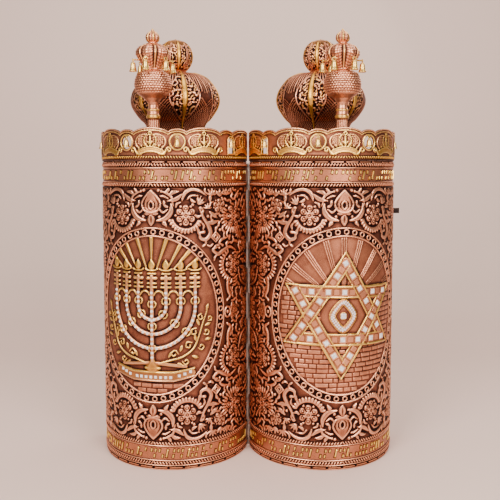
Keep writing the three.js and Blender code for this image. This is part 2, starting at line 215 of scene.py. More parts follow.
def prism(outline, low, high):
    """Vertices and polygons of an upright prism from its outline, counterclockwise from above"""
    n = len(outline)
    co = [(x, y, z) for z in (low, high) for x, y in outline]
    sides = [(i, (i + 1) % n, n + (i + 1) % n, n + i) for i in range(n)]
    return co, sides, [list(range(n))[::-1], list(range(n, 2 * n))]


def joined(parts):
    """Coordinates, quads and other polygons of several shapes as one"""
    co, quads, polygons = [], [], []
    for more, faces, ends in parts:
        quads += [[len(co) + i for i in face] for face in faces]
        polygons += [[len(co) + i for i in face] for face in ends]
        co += more
    return np.array(co).T, quads, polygons


def half_circle(r, steps=72):
    """Points round the panel's side of a drum, in plan"""
    angles = np.linspace(-math.pi / 2, math.pi / 2, steps + 1)
    return [(r * math.sin(a), -r * math.cos(a)) for a in angles]


def plain_copper():
    """Rolled copper sheet, wiped and lacquered: a soft sheen with faint drawing lines up the wall"""
    made, tree = new_material("plain_copper_sheet")
    place = node(tree, "ShaderNodeTexCoord")
    streaks = node(tree, "ShaderNodeMapping", {"Vector": place.outputs["Object"], "Scale": (1, 1, 0.04)})
    lines = node(tree, "ShaderNodeTexNoise", {"Vector": streaks.outputs["Vector"], "Scale": 900.0, "Detail": 3.0})
    cloud = node(tree, "ShaderNodeTexNoise", {"Vector": place.outputs["Object"], "Scale": 14.0, "Detail": 4.0})
    tone = ramp(tree, cloud.outputs["Fac"], [(0.3, "#7A4028"), (0.75, "#B56F4A")])
    rough = node(tree, "ShaderNodeMapRange", {"Value": lines.outputs["Fac"], "To Min": 0.3, "To Max": 0.5})
    bump = node(tree, "ShaderNodeBump", {"Height": lines.outputs["Fac"], "Strength": 0.08, "Distance": 0.0005})
    surface(tree, tone, rough.outputs["Result"], bump)
    return made


LINING_R = 139.4
BORE_R = 137.5
FLOOR_T = 4.0
# How far the floor, deck and rims are let into the wall
LAP = 0.5
RIM_W = 12.0
RIM_T = 2.5
sheet_copper = plain_copper()
for side in HALVES:
    ring = half_circle(LINING_R) + half_circle(BORE_R)[::-1]
    inner = half_circle(BORE_R + LAP)
    parts = [prism(ring, 0, DECK_Z), prism(inner, 0, FLOOR_T), prism(inner, DECK_Z - FLOOR_T, DECK_Z)]
    for edge in (-1, 1):
        x0, x1 = sorted((edge * (BORE_R + LAP), edge * (DRUM_R - RIM_W)))
        rim = [(x0, -RIM_T), (x1, -RIM_T), (x1, 0), (x0, 0)]
        parts.append(prism(rim, FLOOR_T, DECK_Z - FLOOR_T))
    co, quads, caps = joined(parts)
    piece(f"{side}_drum_lining", f"{side}_half", placed(side, *co), quads, sheet_copper,
          caps, replaces=[f"{side}_case"], smooth=False)

# --- Embossed field -----------------------------------------------------------------------
# A sheet of copper chased with flowers, acanthus scrolls and leaves, the same in all four
# quarters round the medallion. It is dipped dark, and the raised work is rubbed bright.

FIELD_Z = (52.6, 508.4)
MIDDLE_Z = 281.0
MEDAL_HALF_W = 136.5
MEDAL_HALF_H = 159.0
FIELD_STEP = 1.26
# Grid points each way that a rubbing cloth evens out
RUB_REACH = 3


def smooth_path(points, closed=False, fine=0.7):
    """Points along a smooth curve through the given ones, about as far apart as fine, in mm"""
    points = np.asarray(points, float)
    if len(points) < 3:
        count = max(2, int(np.linalg.norm(points[-1] - points[0]) / fine) + 1)
        t = np.linspace(0, 1, count)[:, None]
        return points[0] * (1 - t) + points[-1] * t
    if closed:
        points = np.vstack([points[-1], points, points[0], points[1]])
    else:
        points = np.vstack([2 * points[0] - points[1], points, 2 * points[-1] - points[-2]])
    runs = []
    for a, b, c, d in zip(points, points[1:], points[2:], points[3:]):
        count = max(3, int(np.linalg.norm((c - b)[:2]) / fine) + 1)
        t = np.linspace(0, 1, count, endpoint=False)[:, None]
        bend, twist = 2 * a - 5 * b + 4 * c - d, 3 * b - a - 3 * c + d
        runs.append(0.5 * (2 * b + (c - a) * t + bend * t**2 + twist * t**3))
    return np.vstack([*runs, points[-2][None]])


def circle(u, z, r, count=20, start=0.0, end=360.0, tall=1.0):
    """Points along a circle or a part of one, or along an oval when it is tall"""
    angles = np.radians(np.linspace(start, end, count))
    return np.stack([u + r * np.cos(angles), z + r * tall * np.sin(angles)], -1)


class Relief:
    """Heights in mm over points given by their place along (u) and up (z) the sheet"""

    def __init__(self, u, z):
        self.u, self.z = u, z
        self.h = np.zeros_like(u)
        self.gilt = np.zeros_like(u)

    def stroke(self, points, widths, rise, gilt=0.0, flat=0.0, vein=0.0, over=False, straight=False):
        """A raised line with half widths that follow it. It is round in section, or flat on top.
        A vein is a groove along its middle. One that is over another hides what it crosses."""
        points = np.atleast_2d(np.asarray(points, float))
        widths = np.interp(np.linspace(0, 1, len(points)), np.linspace(0, 1, np.size(widths)), np.ravel(widths))
        path = np.column_stack([points, widths])
        if len(points) > 1 and not straight:
            path = smooth_path(path, fine=max(0.5, 0.35 * widths.max()))
        elif len(points) > 1:
            count = np.maximum(2, (np.linalg.norm(np.diff(points, axis=0), axis=1) / 0.8).astype(int))
            legs = zip(path, path[1:], count)
            path = np.vstack([a + (b - a) * np.linspace(0, 1, n)[:, None] for a, b, n in legs])
        reach = path[:, 2].max()
        low, high = path[:, :2].min(0) - reach, path[:, :2].max(0) + reach
        at = np.nonzero((self.u > low[0]) & (self.u < high[0]) & (self.z > low[1]) & (self.z < high[1]))[0]
        if not len(at):
            return
        off = np.full(len(at), 9.0)
        for u, z, half in path:
            off = np.minimum(off, np.hypot(self.u[at] - u, self.z[at] - z) / max(half, 0.2))
        inside = off < 1
        at, off = at[inside], off[inside]
        if flat:
            shape = np.clip((1 - off) / (1 - flat), 0, 1)
        else:
            shape = np.sqrt(1 - off**2)
        shape = rise * shape * (1 - vein * np.exp(-((off / 0.3) ** 2)))
        if over:
            self.h[at] = shape
            self.gilt[at] = gilt
        else:
            higher = shape > self.h[at]
            self.h[at[higher]] = shape[higher]
            self.gilt[at[higher]] = gilt

    def slab(self, u0, u1, z0, z1, rise):
        """A raised rectangle whose sides slope, with a slightly uneven face"""
        at = np.nonzero((self.u > u0) & (self.u < u1) & (self.z > z0) & (self.z < z1))[0]
        u, z = self.u[at], self.z[at]
        inset = np.minimum.reduce([u - u0, u1 - u, z - z0, z1 - z])
        rough = 0.86 + 0.14 * np.sin(1.7 * u + 1.1 * z) * np.sin(2.3 * z - 0.9 * u)
        self.h[at] = np.maximum(self.h[at], rise * np.clip(inset / 1.2, 0, 1) * rough)

    def dot(self, u, z, r, rise, gilt=0.0):
        self.stroke([(u, z)], [r], rise, gilt)

    def ring(self, u, z, r, half, rise, gilt=0.0):
        self.stroke(circle(u, z, r), [half], rise, gilt)

    def leaf(self, u, z, length, width, degrees, rise, vein=0.45, gilt=0.0, bend=0.0):
        """A pointed leaf from its foot outwards, bent to one side by a share of its length"""
        a = math.radians(degrees)
        along, across = np.array([math.cos(a), math.sin(a)]), np.array([-math.sin(a), math.cos(a)])
        foot = np.array([u, z])
        tip = foot + along * length + across * bend * length
        belly = foot + along * length * 0.5 - across * bend * length * 0.25
        self.stroke([foot, belly, tip], [width * 0.18, width / 2, width * 0.08], rise, gilt, vein=vein)

    def flower(self, u, z, r, petals, rise, turn=0.0):
        """Petals that each hold a drop, round a domed eye"""
        wide = min(r * 0.56, 1.9 * r / petals + 1.2)
        for i in range(petals):
            a = math.radians(turn + i * 360 / petals)
            cos, sin = math.cos(a), math.sin(a)
            petal = [(u + cos * r * 0.36, z + sin * r * 0.36), (u + cos * r * 0.8, z + sin * r * 0.8)]
            self.stroke(petal, [wide * 0.45, wide], rise, flat=0.45)
        for i in range(petals):
            a = math.radians(turn + i * 360 / petals)
            at = (u + math.cos(a) * r * 0.74, z + math.sin(a) * r * 0.74)
            self.stroke([at], [r * 0.2], rise * 0.45, over=True, flat=0.2)
            self.dot(*at, r * 0.12, rise)
            a += math.pi / petals
            self.dot(u + math.cos(a) * r * 1.12, z + math.sin(a) * r * 1.12, r * 0.13, rise * 0.9)
        self.stroke([(u, z)], [r * 0.4], 0.3, over=True, flat=0.6)
        self.ring(u, z, r * 0.27, r * 0.12, rise)
        self.dot(u, z, r * 0.12, rise)

    def teeth(self, u, z, r, angles, length, width, rise):
        """Plain leaves that stand out all along an arc"""
        for a in angles:
            cos, sin = math.cos(math.radians(a)), math.sin(math.radians(a))
            self.leaf(u + r * cos, z + r * sin, length, width, a, rise, vein=0)

    def fan(self, u, z, r, count, start, end, rise, width=3.4):
        """Leaves spread from one foot"""
        for a in np.linspace(start, end, count):
            self.leaf(u, z, r, width, a, rise)

    def scroll(self, points, half, rise):
        """A stem that swells and rolls up into an eye at its end"""
        self.stroke(points, [half * 0.3, half, half * 0.8, half * 0.5], rise, vein=0.25)
        self.dot(*points[-1], half * 0.95, rise)


def blurred(values, shape, reach):
    """Local mean over a square that reaches so many rows and columns each way"""
    grid = values.reshape(shape)
    for axis in (0, 1):
        for _ in range(2):
            padding = [(reach + 1, reach) if a == axis else (0, 0) for a in (0, 1)]
            total = np.cumsum(np.pad(grid, padding, mode="edge"), axis=axis)
            width = 2 * reach + 1
            upper = total.take(range(width, total.shape[axis]), axis)
            lower = total.take(range(total.shape[axis] - width), axis)
            grid = (upper - lower) / width
    return grid.ravel()


def wear(h, shape, reach, top, ground):
    """How bright the rubbing leaves each point: 0 in the hollows, 1 on what stands proud. Open
    ground, away from the raised work, keeps a level of its own."""
    proud = h - blurred(h, shape, reach)
    return np.clip(ground + 1.25 * proud / top + (0.54 - ground) * np.clip(h / top, 0, 1), 0, 1)


def grid_of(u, z):
    """The two coordinates of every point of a grid, row by row upwards"""
    us, zs = np.meshgrid(u, z)
    return us.ravel(), zs.ravel()


def grid_quads(keep):
    """The quads of a grid of points that are kept, by row and column"""
    rows, cols = np.nonzero(keep)
    a = rows * (keep.shape[1] + 1) + cols
    return np.stack([a, a + 1, a + 2 + keep.shape[1], a + 1 + keep.shape[1]], 1)


def strips(low, high):
    """Upright polygons, one for each column, that fill between a lower and an upper row.
    Each shares its neighbours' corners, so the seam stays closed."""
    columns = len(low)
    marks = []
    for line in range(columns + 1):
        if line in (0, columns):
            edge = min(line, columns - 1)
            marks.append(set(range(low[edge], high[edge] + 1)))
            continue
        a, b = line - 1, line
        near = set(range(min(low[a], low[b]), max(low[a], low[b]) + 1))
        marks.append(near | set(range(min(high[a], high[b]), max(high[a], high[b]) + 1)))
    polygons = []
    for c in range(columns):
        right = [k for k in sorted(marks[c + 1]) if low[c] <= k <= high[c]]
        left = [k for k in sorted(marks[c], reverse=True) if low[c] <= k <= high[c]]
        polygons.append([(k, c + 1) for k in right] + [(k, c) for k in left])
    return polygons


def edge_walls(quads, polygons=()):
    """The directed edges that only one face uses"""
    edges = np.concatenate([quads[:, [i, (i + 1) % 4]] for i in range(4)])
    if polygons:
        more = [(p[i], p[(i + 1) % len(p)]) for p in polygons for i in range(len(p))]
        edges = np.concatenate([edges, np.array(more)])
    size = edges.max() + 1
    forward, reverse = edges[:, 0] * size + edges[:, 1], edges[:, 1] * size + edges[:, 0]
    return edges[~np.isin(forward, reverse)]


def backed(front, back, count, patch=()):
    """Closes a sheet of so many points with a coarse back. Gives the front points that the back
    repeats, the walls along the edges, and the back's polygons in the new numbering."""
    repeated = np.unique(np.concatenate(back))
    at = {v: count + i for i, v in enumerate(repeated)}
    walls = [[b, a, at[a], at[b]] for a, b in edge_walls(front, patch)]
    return repeated, np.array(walls), [[at[v] for v in p][::-1] for p in back]


def draw_quarter(work):
    """One quarter of the field, from the panel's middle towards an edge and upwards"""
    rise = 2.3
    # the spade palmette on the centre line, with the bud under it
    work.stroke([(0, 190), (0, 198), (0, 207), (0, 215), (0, 222)], [11, 14.5, 11, 6, 1.5], rise * 0.75, flat=0.75)
    work.stroke([(0, 223), (7, 216), (14, 207), (17, 199), (14, 190), (7, 185), (0, 184)], [1.9], rise)
    work.stroke([(0, 197)], [8.6], 0.4, over=True, flat=0.8)
    work.stroke(circle(0, 197, 4.6, tall=1.5), [1.8], rise)
    work.leaf(0, 163, 18, 14, 90, rise, vein=0.7)
    work.leaf(4, 181, 9, 5, 10, rise)
    work.stroke([(36, 200), (35.5, 186), (26, 174), (10, 170)], [1, 4.6, 4.8, 1.2], rise, vein=0.35)
    work.stroke([(16, 213), (23, 213), (32, 208)], [0.6, 1.8, 0.6], rise)
    work.stroke([(13, 192), (22, 184.5), (30, 190)], [0.8, 1.9, 0.8], rise)
    work.stroke([(23.5, 166), (28, 160)], [4, 0.8], rise)
    work.scroll([(40, 196), (36, 212), (26, 219), (19, 221.5)], 2.4, rise)
    # the round flower in its toothed arc
    work.flower(61.6, 179, 16, 6, rise, turn=30)
    arc = circle(61.6, 179, 25, count=14, start=200, end=335)
    work.stroke(arc, [2.4], rise * 0.8)
    work.teeth(61.6, 179, 25, np.arange(198, 340, 11.5), 7.5, 6, rise)
    # acanthus over it
    work.stroke([(55, 205), (61, 219), (73, 225), (87, 222), (99, 214)], [1, 3.4, 3.2, 2.6, 0.8], rise, vein=0.4)
    work.stroke([(64, 207), (72, 214), (84, 213)], [0.8, 1.7, 0.7], rise * 0.9)
    work.leaf(48, 221, 18, 7, 195, rise, bend=0.2)
    work.leaf(55, 216, 27, 8, 214, rise, bend=-0.16)
    work.fan(84, 198, 15, 4, 20, 95, rise, 4)
    # the long stem that rolls up beside the flower
    stem = [(86, 192), (94, 174), (104, 158), (107, 146), (99, 136), (88.5, 138), (87, 147), (95, 149)]
    work.stroke(stem, [1.2, 2.6, 4, 4.2, 3.8, 3, 2, 2.6], rise, vein=0.35)
    work.leaf(106, 184, 18, 8, -35, rise)
    work.leaf(97, 166, 27, 8, -2, rise, bend=0.1)
    work.fan(102, 191, 9, 5, 10, 170, rise, 3)
    work.leaf(107, 203, 12, 7, 90, rise)
    for u in (110, 142):
        work.fan(u, 214, 13, 5, 20, 160, rise, 4)
    work.fan(127, 212, 13, 3, 50, 130, rise, 5)
    work.flower(125.6, 195, 10.5, 5, rise, turn=18)
    # the great rosette
    work.flower(161, 175, 19, 6, rise)
    work.teeth(161, 175, 20, np.arange(150, 312, 13), 12, 5.4, rise)
    # nested diamonds
    for reach in (9, 4.5):
        corners = [(118 + reach, 139), (118, 139 + reach), (118 - reach, 139), (118, 139 - reach)]
        work.stroke([*corners, corners[0]], [1.3], rise, straight=True)
    # curls along the side of the medallion
    curl = [(120, 120), (112, 116), (123, 108), (134, 113), (150, 119), (169, 111)]
    work.stroke(curl, [2, 2.6, 3.6, 4, 3, 1], rise, vein=0.3)
    work.scroll([(146, 137), (132, 134), (126, 128), (133, 123)], 2.8, rise)
    work.flower(160, 87, 17, 6, rise)
    work.teeth(160, 87, 26, np.arange(120, 243, 12), 9, 5.4, rise)
    work.stroke(circle(160, 87, 26, count=12, start=125, end=238), [1.7], rise * 0.8)
    work.stroke([(151, 62), (145.5, 53), (147, 39), (152, 28), (144, 21)], [1.4, 3.2, 3.6, 3, 2], rise, vein=0.3)
    for low in (47, 53, 59):
        work.leaf(158, low, 17, 5, 12, rise, bend=0.2)
    work.stroke(circle(145, 0, 7, tall=1.3), [1.8], rise)
    work.dot(145, 0, 3, rise)
    work.fan(153, 2, 16, 5, 5, 75, rise, 4)
    work.flower(162.5, 0, 9, 6, rise)
    # the outer edge, towards the seam
    work.scroll([(178, 222), (170, 214), (163, 206), (155, 210), (158, 216)], 2.8, rise)
    work.scroll([(186, 200), (196, 212), (208, 213), (210, 204), (204, 202)], 3, rise)
    work.flower(203, 181, 13, 6, rise, turn=15)
    work.scroll([(188, 160), (200, 158), (211, 150), (206, 141), (199, 146)], 3, rise)
    work.fan(180, 148, 17, 5, 200, 300, rise, 5)
    work.flower(197, 121, 12, 5, rise, turn=20)
    work.scroll([(180, 130), (178, 118), (186, 108), (192, 112)], 2.4, rise)
    work.scroll([(186, 100), (200, 102), (212, 95), (210, 84), (202, 87)], 2.8, rise)
    work.leaf(183, 80, 20, 8, -15, rise, bend=0.15)
    work.flower(203, 62, 12, 6, rise)
    work.scroll([(178, 66), (186, 52), (198, 44), (210, 40), (208, 32)], 2.8, rise)
    work.fan(182, 26, 18, 5, -30, 60, rise, 5)
    work.flower(201, 8, 11, 5, rise, turn=36)


def fill_gaps(work, us, zs, rise, seed, wanted, k=1.0, gilt=0.0, crowded=0.27):
    """Small leaves, curls and beads, k times their full size, wherever the ground is still bare"""
    draw = np.random.default_rng(seed)
    for z in np.arange(zs[0] + 3 * k, zs[1], 7.0 * k):
        for u in np.arange(us[0] + 3 * k, us[1], 7.0 * k):
            u1, z1 = u + draw.uniform(-2, 2) * k, z + draw.uniform(-2, 2) * k
            a, kind = draw.uniform(0, 360), draw.integers(0, 4)
            shade = gilt * draw.uniform(0, 1) ** 2
            if not wanted(u1, z1):
                continue
            near = (np.abs(work.u - u1) < 3.2 * k) & (np.abs(work.z - z1) < 3.2 * k)
            if not near.any() or work.h[near].mean() > crowded * rise:
                continue
            cos, sin = k * math.cos(math.radians(a)), k * math.sin(math.radians(a))
            if kind == 0:
                work.leaf(u1 - 4 * cos, z1 - 4 * sin, 9 * k, 4.6 * k, a, rise, bend=0.2, gilt=shade)
            elif kind == 1:
                curl = [(u1 - 5 * cos, z1 - 5 * sin), (u1 + 2 * sin, z1 - 2 * cos), (u1 + 4 * cos, z1 + 4 * sin)]
                work.stroke(curl, [0.6 * k, 1.7 * k, 1.3 * k], rise, shade)
            elif kind == 2:
                work.leaf(u1, z1, 7 * k, 3.6 * k, a, rise, gilt=shade)
                work.leaf(u1, z1, 7 * k, 3.6 * k, a + 120, rise, gilt=shade)
            else:
                work.dot(u1, z1, 2.1 * k, rise, shade)


def antiqued_copper():
    """Embossed copper dipped in liver of sulphur: near black in the hollows, and rubbed back to
    bright pink metal where it stands proud. Some of the work is touched with gold lacquer."""
    made, tree = new_material("antiqued_copper")
    place = node(tree, "ShaderNodeTexCoord")
    # clouds of uneven dip, a few centimetres across, and a grain of about 1 mm from the hammer
    cloud = node(tree, "ShaderNodeTexNoise", {"Vector": place.outputs["Object"], "Scale": 38.0, "Detail": 4.0})
    grain = node(tree, "ShaderNodeTexNoise", {"Vector": place.outputs["Object"], "Scale": 650.0, "Detail": 3.0})
    # the level read here is mostly the dip's patina and the rubbing, and in places painted shade: under the band
    # strokes, behind the gallery rope and at the feet of small stamped parts
    wear_and_shade = node(tree, "ShaderNodeAttribute", attribute_name="wear_and_shade")
    gilt = node(tree, "ShaderNodeAttribute", attribute_name="gilt")
    uneven = node(tree, "ShaderNodeMapRange", {"Value": cloud.outputs["Fac"], "To Min": -0.17, "To Max": 0.17})
    speck = node(tree, "ShaderNodeMapRange", {"Value": grain.outputs["Fac"], "To Min": -0.14, "To Max": 0.14})
    both = node(tree, "ShaderNodeMath", {0: uneven.outputs["Result"], 1: speck.outputs["Result"]}, operation="ADD")
    level = node(tree, "ShaderNodeMath", {0: wear_and_shade.outputs["Fac"], 1: both.outputs["Value"]}, operation="ADD")
    copper = ramp(tree, level.outputs["Value"],
                  [(0.06, "#241413"), (0.34, "#764434"), (0.6, "#C67F5E"), (0.95, "#FFBA92")])
    lacquer = ramp(tree, level.outputs["Value"],
                   [(0.05, "#3A2008"), (0.3, "#9A6424"), (0.6, "#DCA044"), (0.95, "#FAD070")])
    tone = node(tree, "ShaderNodeMix", {"Factor": gilt.outputs["Fac"], 6: copper, 7: lacquer}, data_type="RGBA")
    rough = node(tree, "ShaderNodeMapRange", {"Value": level.outputs["Value"], "To Min": 0.58, "To Max": 0.27})
    bump = node(tree, "ShaderNodeBump", {"Height": grain.outputs["Fac"], "Strength": 0.22, "Distance": 0.0004})
    surface(tree, tone.outputs[2], rough.outputs["Result"], bump)
    return made


embossed = antiqued_copper()
FIELD_BACK_R = 139.2
EDGE_FADE = 3.5
# Wear of the sheets' backs, which nobody rubs
HIDDEN_WORN = 0.2
half_arc = DRUM_R * math.pi / 2
columns = 2 * round(half_arc / FIELD_STEP)
rows = 2 * round((FIELD_Z[1] - FIELD_Z[0]) / FIELD_STEP / 2)
field_u = np.linspace(-half_arc, half_arc, columns + 1)
field_z = np.linspace(*FIELD_Z, rows + 1)
quarter_u, quarter_z = grid_of(field_u[columns // 2 :], field_z[rows // 2 :] - MIDDLE_Z)


def clear_of_medal(u, z, grow):
    """Whether points, up from the middle, lie outside the medallion's edge grown by so much"""
    return (u / (MEDAL_HALF_W + grow)) ** 2 + (z / (MEDAL_HALF_H + grow)) ** 2 > 1


quarter = Relief(quarter_u, quarter_z)
draw_quarter(quarter)
fill_gaps(quarter, (0, half_arc), (0, 228), rise=2.1, seed=7, wanted=lambda u, z: clear_of_medal(u, z, 9),
          k=1.25, crowded=0.11)
corner = quarter.h.reshape(rows // 2 + 1, columns // 2 + 1)
field_h = np.block([[corner[:0:-1, :0:-1], corner[:0:-1]], [corner[:, :0:-1], corner]])
edge = np.clip((half_arc - np.abs(field_u)) / EDGE_FADE, 0, 1)
field_h = field_h * edge
us, zs = grid_of(field_u, field_z)
under_medal = ~clear_of_medal(us, zs - MIDDLE_Z, -3.0)
field_h = np.where(under_medal, 0, field_h.ravel())
field_worn = wear(field_h, (rows + 1, columns + 1), RUB_REACH, 2.3, 0.34)
# Under the medallion the sheet is plain, so only its rim is meshed finely there
hidden = ~clear_of_medal(us, zs - MIDDLE_Z, -6.0).reshape(rows + 1, columns + 1)
covered = hidden[:-1, :-1] & hidden[1:, :-1] & hidden[:-1, 1:] & hidden[1:, 1:]
inside = np.nonzero(covered.any(0))[0]
low = [int(np.argmax(covered[:, c])) for c in inside]
high = [int(rows - np.argmax(covered[::-1, c])) for c in inside]
wide = columns + 1
patch = [[k * wide + c + inside[0] for k, c in p] for p in strips(low, high)]
front = grid_quads(~covered)
back = [[k * wide + c for k, c in p] for p in strips([0] * columns, [rows] * columns)]
rim, walls, back = backed(front, back, len(us), patch)
all_u, all_z = np.concatenate([us, us[rim]]), np.concatenate([zs, zs[rim]])
all_r = np.concatenate([DRUM_R + field_h, np.full(len(rim), FIELD_BACK_R)])
all_worn = np.concatenate([field_worn, np.full(len(rim), HIDDEN_WORN)])
for side in HALVES:
    piece(f"{side}_field", f"{side}_half", round_axis(side, all_r, all_u / DRUM_R, all_z),
          np.concatenate([front, walls]), embossed, patch + back, {"wear_and_shade": all_worn})

# --- Bands --------------------------------------------------------------------------------
# Above and below the field the sheet is turned with ledges and dark channels. Twisted rope is
# laid along the ledges, thin bricks run at the very ends, and gold strokes fill the channels.


def loops(rows, around):
    """Quads between closed loops of points, one loop after another, and a polygon at each end"""
    row, col = np.meshgrid(np.arange(rows - 1), np.arange(around), indexing="ij")
    here, ahead = row * around + col, row * around + (col + 1) % around
    quads = np.stack([here, ahead, ahead + around, here + around], -1).reshape(-1, 4)
    return quads, [list(range(around))[::-1], [(rows - 1) * around + i for i in range(around)]]


# Height, radius and wear of each profile point, upwards
BANDS = {
    "lower": [(0, 140.2, 0.8), (1.3, 140.2, 0.7), (1.7, 139.7, 0.02), (7.4, 139.7, 0.02), (7.8, 140.9, 0.95),
              (8.8, 141.1, 0.95), (9.2, 140.0, 0.1), (16.2, 140.0, 0.1), (16.6, 141.0, 0.95), (18.0, 141.1, 0.95),
              (18.4, 139.9, 0.05), (20.6, 139.9, 0.56), (41.2, 139.9, 0.56), (43.4, 139.9, 0.05),
              (43.8, 141.1, 0.95), (45.0, 141.0, 0.95), (45.4, 140.0, 0.1), (52.8, 140.0, 0.1)],
    "upper": [(508.2, 140.0, 0.1), (517.0, 140.0, 0.1), (517.3, 141.0, 0.95), (518.7, 141.1, 0.95),
              (519.1, 139.9, 0.05), (521.2, 139.9, 0.56), (540.2, 139.9, 0.56), (542.3, 139.9, 0.05),
              (542.7, 141.1, 0.95), (544.1, 141.0, 0.95), (544.5, 140.0, 0.1), (550.8, 140.0, 0.06),
              (551.2, 139.6, 0.02), (556.0, 139.6, 0.02), (556.2, 140.0, 0.5), (556.5, 140.2, 0.5)],
}
BAND_STEPS = 120
for which, profile in BANDS.items():
    angles = np.linspace(-math.pi / 2, math.pi / 2, BAND_STEPS + 1)
    closed = np.array([*profile, *[(z, FIELD_BACK_R, HIDDEN_WORN) for z in (profile[-1][0], profile[0][0])]])
    angle, ring_r = np.meshgrid(angles, closed[:, 1], indexing="ij")
    ring_z, wear_and_shade = (np.broadcast_to(closed[:, i], ring_r.shape) for i in (0, 2))
    quads, caps = loops(BAND_STEPS + 1, len(closed))
    for side in HALVES:
        piece(f"{side}_{which}_band", f"{side}_half", round_axis(side, ring_r, angle, ring_z),
              quads[:, [0, 3, 2, 1]], embossed, [cap[::-1] for cap in caps], {"wear_and_shade": wear_and_shade}, smooth=False)


def seat(side, angle, r, z, spin=0.0, from_y=0.0):
    """Where a small part sits on a half, in metres, and its turn. Its own +Z points out along the
    wall's normal, and its +Y points up the wall until it is spun."""
    turn = HALVES[side][1]
    x, y = r * math.sin(angle), -r * math.cos(angle) + from_y
    facing = Matrix.Rotation(angle + turn, 3, "Z") @ Matrix.Rotation(math.pi / 2, 3, "X")
    return placed(side, x, y, z)[0], tuple((facing @ Matrix.Rotation(spin, 3, "Z")).to_euler())


def repeats(name, body, stamp, seats, material, scales=None, slot="case", **sizes):
    """One mesh of many copies of a small shape, one at each seat. The shape is made by nodes
    from the named sizes; its top is marked bright and its foot dark, partly with painted shade."""
    places = bpy.data.meshes.new(name)
    places.vertices.add(len(seats))
    places.vertices.foreach_set("co", np.array([s[0] for s in seats], np.float32).ravel())
    turns = places.attributes.new("turn", "FLOAT_VECTOR", "POINT")
    turns.data.foreach_set("vector", np.array([s[1] for s in seats], np.float32).ravel())
    scales = np.ones((len(seats), 3)) if scales is None else np.asarray(scales)
    size = places.attributes.new("size", "FLOAT_VECTOR", "POINT")
    size.data.foreach_set("vector", scales.astype(np.float32).ravel())
    holder = add_object(f"{name}_places", places)

    tree = bpy.data.node_groups.new(name, "GeometryNodeTree")
    wanted = [("Places", "NodeSocketGeometry"), ("Finish", "NodeSocketMaterial")]
    wanted += [(size_name, "NodeSocketFloat") for size_name in sizes]
    for label, kind in wanted:
        tree.interface.new_socket(label, in_out="INPUT", socket_type=kind)
    tree.interface.new_socket("Copies", in_out="OUTPUT", socket_type="NodeSocketGeometry")
    given = node(tree, "NodeGroupInput")
    shape = stamp(tree, given)
    turned = node(tree, "GeometryNodeInputNamedAttribute", {"Name": "turn"}, data_type="FLOAT_VECTOR")
    scaled = node(tree, "GeometryNodeInputNamedAttribute", {"Name": "size"}, data_type="FLOAT_VECTOR")
    copies = node(tree, "GeometryNodeInstanceOnPoints", {
        "Points": given.outputs["Places"], "Instance": shape,
        "Rotation": turned.outputs["Attribute"], "Scale": scaled.outputs["Attribute"],
    })
    real = node(tree, "GeometryNodeRealizeInstances", {"Geometry": copies.outputs["Instances"]})
    done = node(tree, "GeometryNodeSetMaterial", {
        "Geometry": real.outputs["Geometry"], "Material": given.outputs["Finish"],
    })
    node(tree, "NodeGroupOutput", {"Copies": done.outputs["Geometry"]})
    modifier = holder.modifiers.new(name, "NODES")
    modifier.node_group = tree
    for item in tree.interface.items_tree:
        if item.in_out == "INPUT" and item.name in sizes:
            modifier[item.identifier] = float(sizes[item.name]) * MM
        elif item.in_out == "INPUT" and item.name == "Finish":
            modifier[item.identifier] = material
    seen = bpy.context.evaluated_depsgraph_get()
    mesh = bpy.data.meshes.new_from_object(holder.evaluated_get(seen), depsgraph=seen)
    bpy.data.objects.remove(holder)
    mesh.name = name
    obj = add_object(name, mesh)
    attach(obj, body)
    return obj


def foot_shade_and_top_wear(tree, shape, height, least=0.1, most=1.0):
    """Marks a small shape dark at its foot and bright at its top: painted shade, on copper also patina and rubbing
    """
    at = node(tree, "GeometryNodeInputPosition")
    up = node(tree, "ShaderNodeSeparateXYZ", {"Vector": at.outputs["Position"]})
    level = node(tree, "ShaderNodeMapRange", {
        "Value": up.outputs["Z"], "From Min": 0.0, "From Max": height, "To Min": least, "To Max": most,
    })
    marked = node(tree, "GeometryNodeStoreNamedAttribute", {
        "Geometry": shape, "Name": "wear_and_shade", "Value": level.outputs["Result"],
    }, data_type="FLOAT", domain="POINT")
    smooth = node(tree, "GeometryNodeSetShadeSmooth", {"Geometry": marked.outputs["Geometry"]})
    return smooth.outputs["Geometry"]


def strand(tree, given):
    """One strand of a rope: a fat grain, longer than it is wide, half sunk in the wall"""
    ball = node(tree, "GeometryNodeMeshUVSphere", {"Segments": 10, "Rings": 6, "Radius": 1.0})
    size = node(tree, "ShaderNodeCombineXYZ", {
        "X": given.outputs["Half width"], "Y": given.outputs["Half length"], "Z": given.outputs["Rise"],
    })
    grain = node(tree, "GeometryNodeTransform", {
        "Geometry": ball.outputs["Mesh"], "Scale": size.outputs["Vector"],
    })
    return foot_shade_and_top_wear(tree, grain.outputs["Geometry"], given.outputs["Rise"], 0.0)


HALF_DIAGONAL = 0.70711


